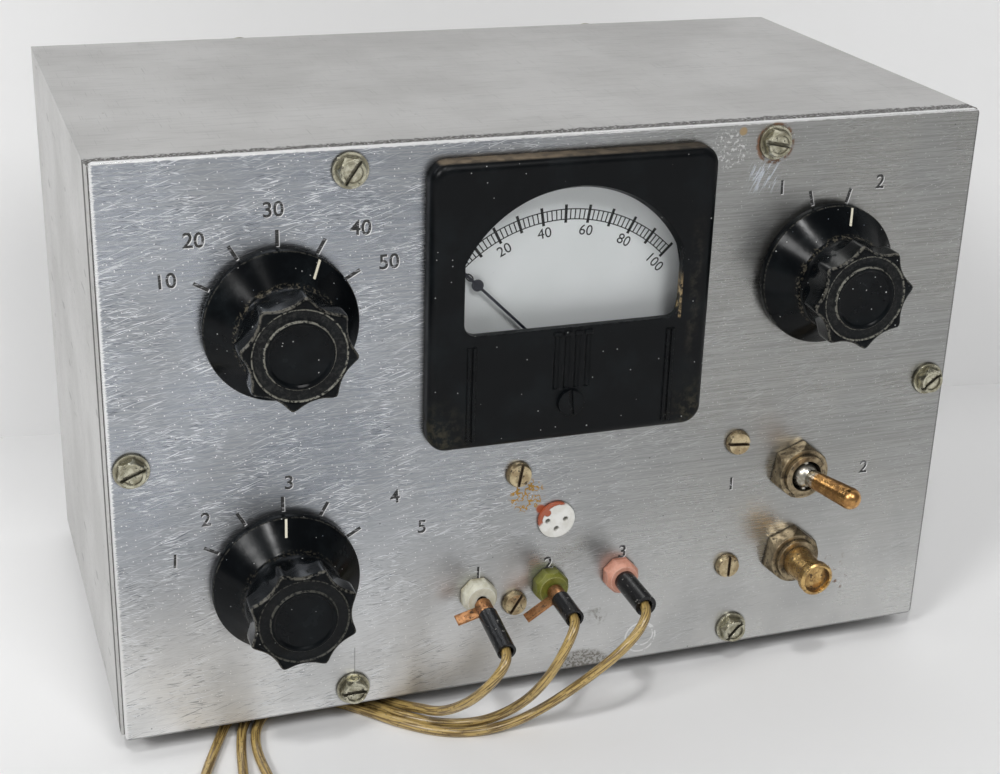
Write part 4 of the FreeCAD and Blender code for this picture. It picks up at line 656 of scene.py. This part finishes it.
def stamped_ink(name, colour, wear_colour, worn):
    """Filling of a stamped mark, rubbed away in places; the same serves the painted highlight along each
    stroke's lit edge.
    """
    finish = Finish(name, Roughness=0.55)
    rubbed = finish.between(finish.strokes(1.6, 0.35, 0.0, 4, 4.0), 0.72 - 0.3 * worn, 0.8 - 0.3 * worn)
    return finish.wear(Base_Color=finish.blend(rubbed, colour, wear_colour))


def backdrop_paper(name, tone, shade):
    """Plain pale board, clear from behind so that it never hides the back of the tester."""
    finish = Finish(name, Roughness=0.7, Specular_IOR_Level=0.2)
    finish.wear(Base_Color=finish.blend(finish.noise(220.0, 2.0), tone, shade))
    clear = finish.node("ShaderNodeBsdfTransparent")
    behind = finish.node("ShaderNodeNewGeometry", output="Backfacing")
    mixed = finish.node("ShaderNodeMixShader", None, {0: behind, 2: clear}).socket.node
    finish.links.new(finish.shader.outputs[0], mixed.inputs[1])
    finish.links.new(mixed.outputs[0], finish.nodes["Material Output"].inputs["Surface"])
    return finish.material


# Mesh building

def piece(name, shapes, material, body, smooth=False, closed=True):
    """One new piece from arrays of places and faces, with its faces turned outwards."""
    mesh = bpy.data.meshes.new(name)
    places, faces, start = [], [], 0
    for points, polygons in shapes:
        places.append(np.asarray(points).reshape(-1, 3))
        faces += [[start + corner for corner in polygon] for polygon in polygons]
        start += len(places[-1])
    mesh.from_pydata(np.concatenate(places).tolist(), [], faces)
    if closed:
        shell = bmesh.new()
        shell.from_mesh(mesh)
        bmesh.ops.remove_doubles(shell, verts=shell.verts, dist=1e-7)
        bmesh.ops.recalc_face_normals(shell, faces=shell.faces)
        shell.to_mesh(mesh)
        shell.free()
    mesh.polygons.foreach_set("use_smooth", np.full(len(mesh.polygons), smooth))
    mesh.materials.append(material)
    item = into_scene(name, mesh)
    if body:
        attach(item, body)
    return item


def tube_faces(rows, around):
    """Quads over rows of rings whose ends are closed by one face each."""
    row, column = np.meshgrid(np.arange(rows - 1), np.arange(around), indexing="ij")
    ahead = (column + 1) % around
    first, second = row * around, (row + 1) * around
    corners = (first + column, first + ahead, second + ahead, second + column)
    quads = np.stack(corners, axis=-1).reshape(-1, 4).tolist()
    ring = np.arange(around)
    return quads + [ring[::-1].tolist(), (ring + (rows - 1) * around).tolist()]


def unit(vectors):
    """Vectors of the same directions, each 1 long."""
    return vectors / np.linalg.norm(vectors, axis=1, keepdims=True)


def strip(path, half, low, high):
    """A flat bar along a line on the panel: four edges, half a width to each side, from low to high out."""
    path = np.asarray(path, dtype=float)
    run = unit(np.gradient(path, axis=0))
    side = np.c_[-run[:, 1], run[:, 0]] * half
    left, right = path + side, path - side
    corners = [(left, low), (left, high), (right, high), (right, low)]
    points = np.stack([on_panel(edge[:, 0], edge[:, 1], out) for edge, out in corners], axis=1)
    return points, tube_faces(len(path), 4)


def arc(middle, radius, start, end, steps):
    """Places on a circle on the panel, by angles clockwise from straight up, in degrees."""
    angle = np.radians(np.linspace(start, end, steps))
    return np.c_[middle[0] + radius * np.sin(angle), middle[1] + radius * np.cos(angle)]


def ray(middle, inner, outer, angle):
    """Two places on a line outwards from a middle on the panel."""
    angle = math.radians(angle)
    reach = np.array([[inner], [outer]]) * np.array([math.sin(angle), math.cos(angle)])
    return reach + np.array(middle)


def mesh_of(curve):
    """The points and faces of a curve or text that is made a mesh, and then removed."""
    item = bpy.data.objects.new("mesh_of", curve)
    mesh = bpy.data.meshes.new_from_object(item)
    points = np.empty(3 * len(mesh.vertices))
    mesh.vertices.foreach_get("co", points)
    polygons = [list(polygon.vertices) for polygon in mesh.polygons]
    bpy.data.objects.remove(item)
    bpy.data.curves.remove(curve)
    bpy.data.meshes.remove(mesh)
    return points.reshape(-1, 3), polygons


def figures(text, size, weight, middle, turn, low, high):
    """Numbers as solid letters on the panel, turned clockwise in degrees, from low to high out.

    weight is how much each stroke is thickened to each side.
    """
    curve = bpy.data.curves.new("figures", "FONT")
    curve.body = text
    curve.size = size
    curve.align_x = "CENTER"
    curve.align_y = "CENTER"
    curve.extrude = 1.0
    curve.offset = weight
    curve.resolution_u = 4
    points, polygons = mesh_of(curve)
    across, up, depth = points.T
    angle = math.radians(turn)
    x = middle[0] + across * math.cos(angle) + up * math.sin(angle)
    rise = middle[1] + up * math.cos(angle) - across * math.sin(angle)
    return on_panel(x, rise, np.where(depth > 0.0, high, low)), polygons


# Leads

LEAD_RADIUS = 1.3
LEAD_SIDES = 20
# x, distance out and height above the floor of each lead, from its sleeve to its clip
EMITTER_ROUTE = [(-21.15, 22.55, 30.63), (-21.3, 25.3, 30.2), (-22.6, 27.4, 28.5), (-24.9, 27.7, 25.4),
                 (-27.3, 26.0, 21.2), (-29.8, 22.2, 16.0), (-32.6, 16.6, 10.6), (-35.2, 10.6, 6.5),
                 (-37.8, 4.8, 4.4), (-41.0, -1.2, 2.1), (-46.6, -8.4, 1.3), (-55.0, -16.0, 1.3),
                 (-66.0, -20.8, 1.3), (-77.6, -18.6, 1.3), (-86.4, -9.8, 1.3), (-91.6, 1.6, 1.3),
                 (-96.4, 12.6, 1.3), (-100.2, 23.4, 1.3), (-102.8, 36.0, 1.3), (-103.6, 50.0, 1.5),
                 (-103.6, 64.0, 1.7)]
BASE_ROUTE = [(-0.9, 17.7, 34.0), (-1.0, 20.4, 33.8), (-2.4, 22.6, 32.2), (-4.6, 23.8, 28.6),
              (-6.9, 23.5, 23.6), (-9.5, 21.8, 17.6), (-12.8, 18.6, 11.0), (-17.4, 14.6, 5.2),
              (-23.6, 11.7, 1.7), (-32.3, 9.4, 1.3), (-41.2, 3.4, 1.3), (-48.6, -5.4, 1.3),
              (-56.4, -12.8, 1.3), (-66.4, -17.0, 1.3), (-76.6, -14.8, 1.3), (-83.4, -6.0, 1.3),
              (-85.9, 4.2, 1.3), (-87.6, 16.0, 1.3), (-89.2, 28.0, 1.3), (-90.2, 41.0, 1.3),
              (-90.6, 54.0, 1.5), (-90.6, 67.0, 1.7)]
COLLECTOR_ROUTE = [(19.4, 17.0, 34.0), (19.2, 19.9, 33.7), (17.8, 22.2, 32.0), (14.8, 23.8, 28.8),
                   (10.2, 24.2, 24.6), (4.6, 23.0, 19.2), (-1.6, 20.0, 12.4), (-8.0, 17.0, 6.2),
                   (-15.6, 15.5, 2.2), (-25.2, 15.4, 1.3), (-34.5, 12.7, 1.3), (-43.4, 5.6, 1.3),
                   (-50.6, -2.4, 1.3), (-57.6, -9.4, 1.3), (-66.0, -13.2, 1.3), (-75.0, -11.4, 1.3),
                   (-80.4, -3.6, 1.3), (-82.4, 6.0, 1.3), (-81.9, 19.0, 1.3), (-80.2, 32.0, 1.3),
                   (-78.8, 45.0, 1.3), (-78.2, 57.0, 1.5), (-78.2, 69.0, 1.7)]
LEADS = {
    # route and length in metres
    "emitter": (EMITTER_ROUTE, 0.183),
    "base": (BASE_ROUTE, 0.192),
    "collector": (COLLECTOR_ROUTE, 0.202),
}


def route_line(route):
    """Points along the smooth spline that has the route's points as its control points."""
    curve = bpy.data.curves.new("route", "CURVE")
    curve.dimensions = "3D"
    spline = curve.splines.new("NURBS")
    spline.points.add(len(route) - 1)
    x, out, height = np.array(route).T
    places = on_panel(x, height + FLOOR_LEVEL, out)
    spline.points.foreach_set("co", np.c_[places, np.ones(len(route))].ravel())
    spline.order_u = 3
    spline.use_endpoint_u = True
    spline.resolution_u = 10
    return mesh_of(curve)[0]


def make_leads(material):
    """Round tubes: a circle about each point of the line, square to it.

    The lay attribute keeps how far along each corner is, and where round the tube.
    """
    angle = np.linspace(0.0, 2.0 * math.pi, LEAD_SIDES, endpoint=False)
    for name, (route, length) in LEADS.items():
        line = route_line(route)
        run = unit(np.gradient(line, axis=0))
        side = unit(np.cross(run, [0.0, 0.0, 1.0]))
        top = np.cross(side, run)
        circle = np.cos(angle)[:, None] * side[:, None] + np.sin(angle)[:, None] * top[:, None]
        points = line[:, None] + LEAD_RADIUS * MM * circle
        lead = piece(f"{name}_lead_cord", [(points, tube_faces(len(line), LEAD_SIDES))], material,
                     "cabinet", smooth=True, closed=False)
        gone = np.r_[0.0, np.cumsum(np.linalg.norm(np.diff(line, axis=0), axis=1))] / MM
        lay = np.stack(np.broadcast_arrays(gone[:, None], np.cos(angle), np.sin(angle)), axis=-1)
        lead.data.attributes.new("lay", "FLOAT_VECTOR", "POINT").data.foreach_set("vector", lay.ravel())
        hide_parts(f"{name}_lead")


# Knobs

KNOBS = {
    # x, rise, angle clockwise from straight up, how dusty its face is and how grimy the panel is round it
    "range": (-72.5, 109.7, 30.0, 0.9, 0.2),
    "function": (-72.6, 40.7, 0.0, 0.3, 0.1),
    "polarity": (72.5, 110.0, 15.0, 0.7, 0.3),
}
LOBES = 8
LOBE_COLUMNS = 24
SCALLOP_REACH, SCALLOP_RADIUS, TIP_RADIUS, NECK_RADIUS = 22.0, 10.0, 14.1, 12.0
TIP_SOFTNESS = 0.4
# Out, radius in the valleys and share of the lobes, from the bore's floor round to the middle of the face
KNOB_PROFILE = [
    (19.4, 0.0, 0.0), (19.4, 3.2, 0.0), (8.6, 3.2, 0.0), (8.6, 9.0, 0.0), (1.0, 9.0, 0.0),
    (1.0, 18.5, 0.0), (1.1, 18.75, 0.0), (1.3, 18.8, 0.0), (3.3, 18.8, 0.0), (3.5, 18.65, 0.0),
    (3.65, 18.5, 0.0), (3.8, 18.36, 0.0), (6.8, 15.5, 0.0), (9.7, 12.74, 0.0), (9.85, 12.6, 0.0),
    (10.0, 12.48, 0.0), (10.5, 12.2, 0.0), (12.2, 12.0, 0.0), (13.2, 12.0, 0.1), (14.2, 12.0, 0.36),
    (15.2, 12.0, 0.74), (16.0, 12.0, 0.95), (16.8, 12.0, 1.0), (21.3, 12.0, 1.0), (21.8, 11.92, 1.0),
    (22.1, 11.75, 1.0),
    (22.3, 11.5, 1.0), (22.4, 11.2, 0.92), (22.4, 11.1, 0.0), (22.32, 11.0, 0.0), (22.05, 10.9, 0.0),
    (22.0, 10.7, 0.0), (22.0, 8.5, 0.0), (22.1, 8.35, 0.0), (22.45, 8.25, 0.0), (22.57, 8.15, 0.0),
    (22.6, 8.0, 0.0), (22.6, 7.7, 0.0), (22.54, 7.5, 0.0), (22.2, 7.2, 0.0), (22.1, 6.9, 0.0),
    (22.1, 0.0, 0.0),
]
# First row of the skirt's slope in that profile, and the one after its last
SKIRT_ROWS = (8, 16)
POINTER_OUTER, POINTER_HALF, POINTER_STEPS = 18.5, 0.3, 9
POINTER_LOW, POINTER_HIGH = -0.2, 0.08
# Inner end of each pointer line and how far it leans to the left there
POINTER_INNER_ENDS = {"range": (14.6, 0.5), "function": (15.2, 0.8), "polarity": (14.6, 1.5)}


def lobe_outline(angle):
    """Radius of the grip: round scallops cut from outside, eased into a round limit at the tips.

    A scallop of radius R about a point at D cuts at D cos a - sqrt(R R - D D sin a sin a), with the angle a
    from the valley.
    """
    valley = (angle + math.pi / LOBES) % (2.0 * math.pi / LOBES) - math.pi / LOBES
    reach = SCALLOP_REACH * np.sin(valley)
    cut = SCALLOP_REACH * np.cos(valley) - np.sqrt(np.maximum(SCALLOP_RADIUS ** 2 - reach ** 2, 0.0))
    return -TIP_SOFTNESS * np.logaddexp(-cut / TIP_SOFTNESS, -TIP_RADIUS / TIP_SOFTNESS)


def make_knob(name, x, rise, turn, dusty, seed):
    """A turned profile whose grip swells by the lobes' share."""
    out, radius, share = np.array(KNOB_PROFILE).T
    angle = np.linspace(0.0, 2.0 * math.pi, LOBES * LOBE_COLUMNS, endpoint=False)
    swell = lobe_outline(angle) - NECK_RADIUS
    reach = radius[:, None] + share[:, None] * swell
    heading = angle + math.radians(turn)
    points = on_panel(x + reach * np.sin(heading), rise + reach * np.cos(heading), out[:, None])
    knob = piece(f"{name}_knob_bakelite", [(points, tube_faces(len(out), len(angle)))],
                 knob_bakelite(name, x, rise, dusty, seed), f"{name}_switch", smooth=True)
    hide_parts(f"{name}_knob")


def make_pointer_line(name, x, rise, turn, material):
    """A thin inlay that follows the skirt's slope, its inner end a little off the middle."""
    out, radius, _ = np.array(KNOB_PROFILE).T
    slope = slice(*SKIRT_ROWS)
    inner, lean = POINTER_INNER_ENDS[name]
    along = np.linspace(inner, POINTER_OUTER, POINTER_STEPS)
    aside = -lean * np.linspace(1.0, 0.0, POINTER_STEPS)
    height = np.interp(along, radius[slope][::-1], out[slope][::-1])
    heading = math.radians(turn)
    ahead = np.array([math.sin(heading), math.cos(heading)])
    side = np.array([math.cos(heading), -math.sin(heading)])
    rows = []
    for across, lift in ((-1, POINTER_LOW), (-1, POINTER_HIGH), (1, POINTER_HIGH), (1, POINTER_LOW)):
        flat = along[:, None] * ahead + (aside[:, None] + across * POINTER_HALF) * side
        rows.append(on_panel(x + flat[:, 0], rise + flat[:, 1], height + lift))
    piece(f"{name}_pointer_line", [(np.stack(rows, axis=1), tube_faces(len(along), 4))], material,
          f"{name}_switch")


# Print

# How deep print starts under a surface and how far it stands out of it
PRINT_LOW, PRINT_HIGH = -0.02, 0.04
DIAL_OUT = (PANEL_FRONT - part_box("meter_dial")[0].y) / MM
PIVOT = (METER_X, METER_RISE - 18.8)
SCALE_HALF = 45.4
SCALE_RADIUS = 38.9
SCALE_DIVISIONS = 50
ARC_APART, ARC_HALF_WIDE, ARC_STEPS = 1.3, 0.13, 60
# Inner and outer end of a tick, from the scale's radius, and half its width
PLAIN_TICK, TENTH_TICK = (-1.3, 1.3, 0.15), (-2.2, 2.5, 0.36)
SCALE_NUMBER_RADIUS, SCALE_NUMBER_SIZE = 34.7, 3.8


def make_meter_scale(material):
    """Two arcs, a tick for each division, a longer thicker one at every tenth part, and plain numbers."""
    low, high = DIAL_OUT + PRINT_LOW, DIAL_OUT + PRINT_HIGH
    shapes = []
    for radius in (SCALE_RADIUS - ARC_APART, SCALE_RADIUS + ARC_APART):
        line = arc(PIVOT, radius, -SCALE_HALF, SCALE_HALF, ARC_STEPS)
        shapes.append(strip(line, ARC_HALF_WIDE, low, high))
    for division in range(SCALE_DIVISIONS + 1):
        angle = SCALE_HALF * (2.0 * division / SCALE_DIVISIONS - 1.0)
        inner, outer, half = PLAIN_TICK if division % 5 else TENTH_TICK
        shapes.append(strip(ray(PIVOT, SCALE_RADIUS + inner, SCALE_RADIUS + outer, angle), half, low, high))
    for number in range(0, 101, 20):
        angle = SCALE_HALF * (number / 50.0 - 1.0)
        middle = ray(PIVOT, 0.0, SCALE_NUMBER_RADIUS, angle)[1]
        shapes.append(figures(str(number), SCALE_NUMBER_SIZE, 0.0, middle, angle, low, high))
    piece("meter_scale", shapes, material, "cabinet")


TICK_RADIUS, TICK_HALF_LONG, TICK_HALF_WIDE = 20.9, 2.0, 0.42
SWITCH_TICKS = {
    "range": (-60, -30, 0, 30, 60),
    "function": (-60, -30, 0, 30, 60),
    "polarity": (-15, 15),
}
# Plain numbers stamped by hand: text, x, rise and how far each is turned, in degrees
STAMPED_NUMBERS = [
    ("10", -98.7, 122.1, -2.0), ("20", -91.9, 131.4, 1.5), ("30", -73.3, 137.4, -1.0),
    ("40", -52.4, 131.4, 2.0), ("50", -45.5, 122.4, -1.5),
    ("1", -99.7, 49.4, 3.0), ("2", -91.7, 59.8, -2.0), ("3", -70.9, 67.1, 1.0), ("4", -43.7, 59.5, -3.0),
    ("5", -36.5, 49.9, 2.0),
    ("1", 58.3, 133.5, -2.0), ("2", 86.9, 133.1, 2.0),
    ("1", -20.9, 33.9, 1.0), ("2", -1.2, 33.9, -2.0), ("3", 20.2, 34.2, 2.0),
    ("1", 51.3, 50.4, -1.0), ("2", 92.3, 50.2, 2.0),
]
NUMBER_SIZE, NUMBER_WEIGHT = 5.2, 0.07
# The lit edge of each stroke: how far aside it is and how far it stands out
LIT_SHIFT, LIT_HIGH = 0.2, 0.02


def make_stamped_marks(ink, bright):
    """Ticks and numbers stamped into the panel: dark filling, and the lit edge of each stroke beside it."""
    layers = (("dark", ink, 0.0, PRINT_HIGH), ("bright", bright, LIT_SHIFT, LIT_HIGH))
    for name, material, move, high in layers:
        shapes = []
        for switch, angles in SWITCH_TICKS.items():
            middle = np.array(KNOBS[switch][:2]) + (move, -move)
            for angle in angles:
                line = ray(middle, TICK_RADIUS - TICK_HALF_LONG, TICK_RADIUS + TICK_HALF_LONG, angle)
                shapes.append(strip(line, TICK_HALF_WIDE, PRINT_LOW, high))
        for text, x, rise, turn in STAMPED_NUMBERS:
            place = (x + move, rise - move)
            shapes.append(figures(text, NUMBER_SIZE, NUMBER_WEIGHT, place, turn, PRINT_LOW, high))
        piece(f"panel_marks_{name}", shapes, material, "cabinet")


# Putting it together

def dress(material, *names):
    """Gives CAD nodes a finish."""
    for name in names:
        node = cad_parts[name]
        node.data.materials.clear()
        node.data.materials.append(material)
        undressed.discard(name)


def make_stage():
    """A pale floor and, behind the tester, a pale backdrop that stands on it at a slight slant."""
    corner = np.array([[-1, -1, 0], [1, -1, 0], [1, 1, 0], [-1, 1, 0]]) * FLOOR_HALF
    floor = backdrop_paper("floor_paper", grey(0.81), grey(0.84))
    piece("floor", [(corner, [(0, 1, 2, 3)])], floor, None, closed=False)
    (left, left_back), (right, right_back) = BACKDROP_FOOT
    slant = (right_back - left_back) / (right - left)
    ends = np.array([-FLOOR_HALF, FLOOR_HALF])
    depth = PANEL_FRONT + left_back * MM + slant * (ends - left * MM)
    low = np.c_[ends, depth, np.zeros(2)]
    high = low[::-1] + (0.0, 0.0, BACKDROP_TALL)
    wall = backdrop_paper("wall_paper", grey(0.86), grey(0.88))
    shape = (np.concatenate([low, high]), [(0, 1, 2, 3)])
    board = piece("backdrop", [shape], wall, None, closed=False)
    board.visible_shadow = False


undressed = set(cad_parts)
make_camera()
make_world()
for name, light in LIGHTS.items():
    area_light(name, *light)
make_stage()
make_leads(lead_insulation())
ivory = stamped_ink("pointer_ivory", rgb(0.72, 0.68, 0.55), rgb(0.36, 0.31, 0.22), 0.2)
for seed, (name, (x, rise, turn, dusty, _)) in enumerate(KNOBS.items()):
    make_knob(name, x, rise, turn, dusty, 5 * seed)
    make_pointer_line(name, x, rise, turn, ivory)
make_meter_scale(stamped_ink("scale_black", grey(0.012), grey(0.03), 0.1))
# The bright set is a painted highlight along each stroke's lit edge
make_stamped_marks(stamped_ink("stamp_dark", grey(0.03), rgb(0.3, 0.3, 0.31), 0.55),
                   stamped_ink("stamp_lit_edge_highlight", grey(0.8), grey(0.5), 0.4))

nickel = worn_metal("screw_nickel", rgb(0.58, 0.56, 0.44), rgb(0.3, 0.28, 0.2), rgb(0.03, 0.026, 0.016),
                    0.35, 0.22)
brass = worn_metal("grimy_brass", rgb(0.42, 0.34, 0.22), rgb(0.14, 0.108, 0.068), rgb(0.02, 0.015, 0.009),
                   0.45, 0.3, 3.0, 0.4)
pale_brass = worn_metal("pale_brass", rgb(0.62, 0.52, 0.33), rgb(0.38, 0.29, 0.17), rgb(0.05, 0.03, 0.016),
                        0.5, 0.28)
button_brass = worn_metal("button_brass", rgb(0.68, 0.46, 0.19), rgb(0.36, 0.22, 0.09),
                          rgb(0.055, 0.033, 0.018), 0.5, 0.24)
steel = worn_metal("bright_steel", grey(0.6), grey(0.45), rgb(0.08, 0.07, 0.05), 0.25)
copper = worn_metal("copper_plug", rgb(0.55, 0.28, 0.13), rgb(0.3, 0.14, 0.06), rgb(0.06, 0.035, 0.02),
                    0.5, 0.3)
fibre = moulded("phenolic_fibre", rgb(0.20, 0.11, 0.05), rgb(0.14, 0.075, 0.035), 0.5)
rubber = moulded("black_rubber", grey(0.022), grey(0.012), 0.55)
dress(scuffed_panel(), "front_panel")
dress(grey_sheet(), "cabinet_shell", "rear_panel")
dress(nickel, "front_panel_screws", "rear_panel_screws")
dress(pale_brass, "machine_screws", "foot_screws")
dress(brass, "panel_nuts", "small_switch_bushings", "switch_nuts", "switch_bushings", "meter_nuts",
      "meter_studs", "board_spacers", "meter_bridges", "meter_hairspring")
dress(button_brass, "push_plunger")
dress(lever_plating(), "toggle_lever")
dress(steel, "range_shaft", "function_shaft", "polarity_shaft", "range_set_screw", "function_set_screw",
      "polarity_set_screw", "meter_magnet", "meter_core", "push_spring", "socket_contacts",
      "clip_lower_jaws", "emitter_clip_jaw", "base_clip_jaw", "collector_clip_jaw")
dress(copper, "test_plugs", "meter_coil")
dress(fibre, "switch_wafers", "resistor_board", "toggle_body", "push_body")
dress(rubber, "rubber_feet", "battery_holder")
dress(scuffed_sleeve(), "plug_sleeves")
dress(meter_phenolic(), "meter_cover", "meter_can", "meter_zero_screw")
dress(clear_glass(), "meter_glass")
dress(moulded("dial_enamel", rgb(0.94, 0.955, 0.96), rgb(0.9, 0.92, 0.92), 0.45, 14.0), "meter_dial")
dress(moulded("pointer_navy", rgb(0.012, 0.014, 0.026), rgb(0.02, 0.022, 0.035), 0.4), "meter_pointer")
dress(socket_ceramic(), "transistor_socket")
dress(jack_nylon("nylon_white", rgb(0.64, 0.63, 0.53), rgb(0.52, 0.50, 0.39), rgb(0.25, 0.21, 0.11),
                 grey(0.8)), "emitter_jack")
dress(jack_nylon("nylon_green", rgb(0.17, 0.175, 0.024), rgb(0.1, 0.107, 0.014), rgb(0.05, 0.05, 0.01),
                 rgb(0.5, 0.49, 0.22)), "base_jack")
dress(jack_nylon("nylon_salmon", rgb(0.68, 0.35, 0.26), rgb(0.56, 0.26, 0.18), rgb(0.28, 0.1, 0.06),
                 rgb(0.8, 0.55, 0.45)), "collector_jack")
dress(moulded("resistor_brown", rgb(0.16, 0.075, 0.035), rgb(0.11, 0.05, 0.025), 0.4), "resistors")
dress(moulded("cell_jacket", rgb(0.10, 0.12, 0.16), rgb(0.07, 0.08, 0.11), 0.35), "battery_cells")
dress(moulded("wire_jacket", rgb(0.42, 0.05, 0.03), rgb(0.32, 0.035, 0.02), 0.4), "hookup_wires")
undressed -= {f"{name}_knob" for name in KNOBS} | {f"{name}_lead" for name in LEADS}
if undressed:
    raise ValueError(f"no finish for {sorted(undressed)}")

bpy.context.scene.view_settings.view_transform = "Standard"
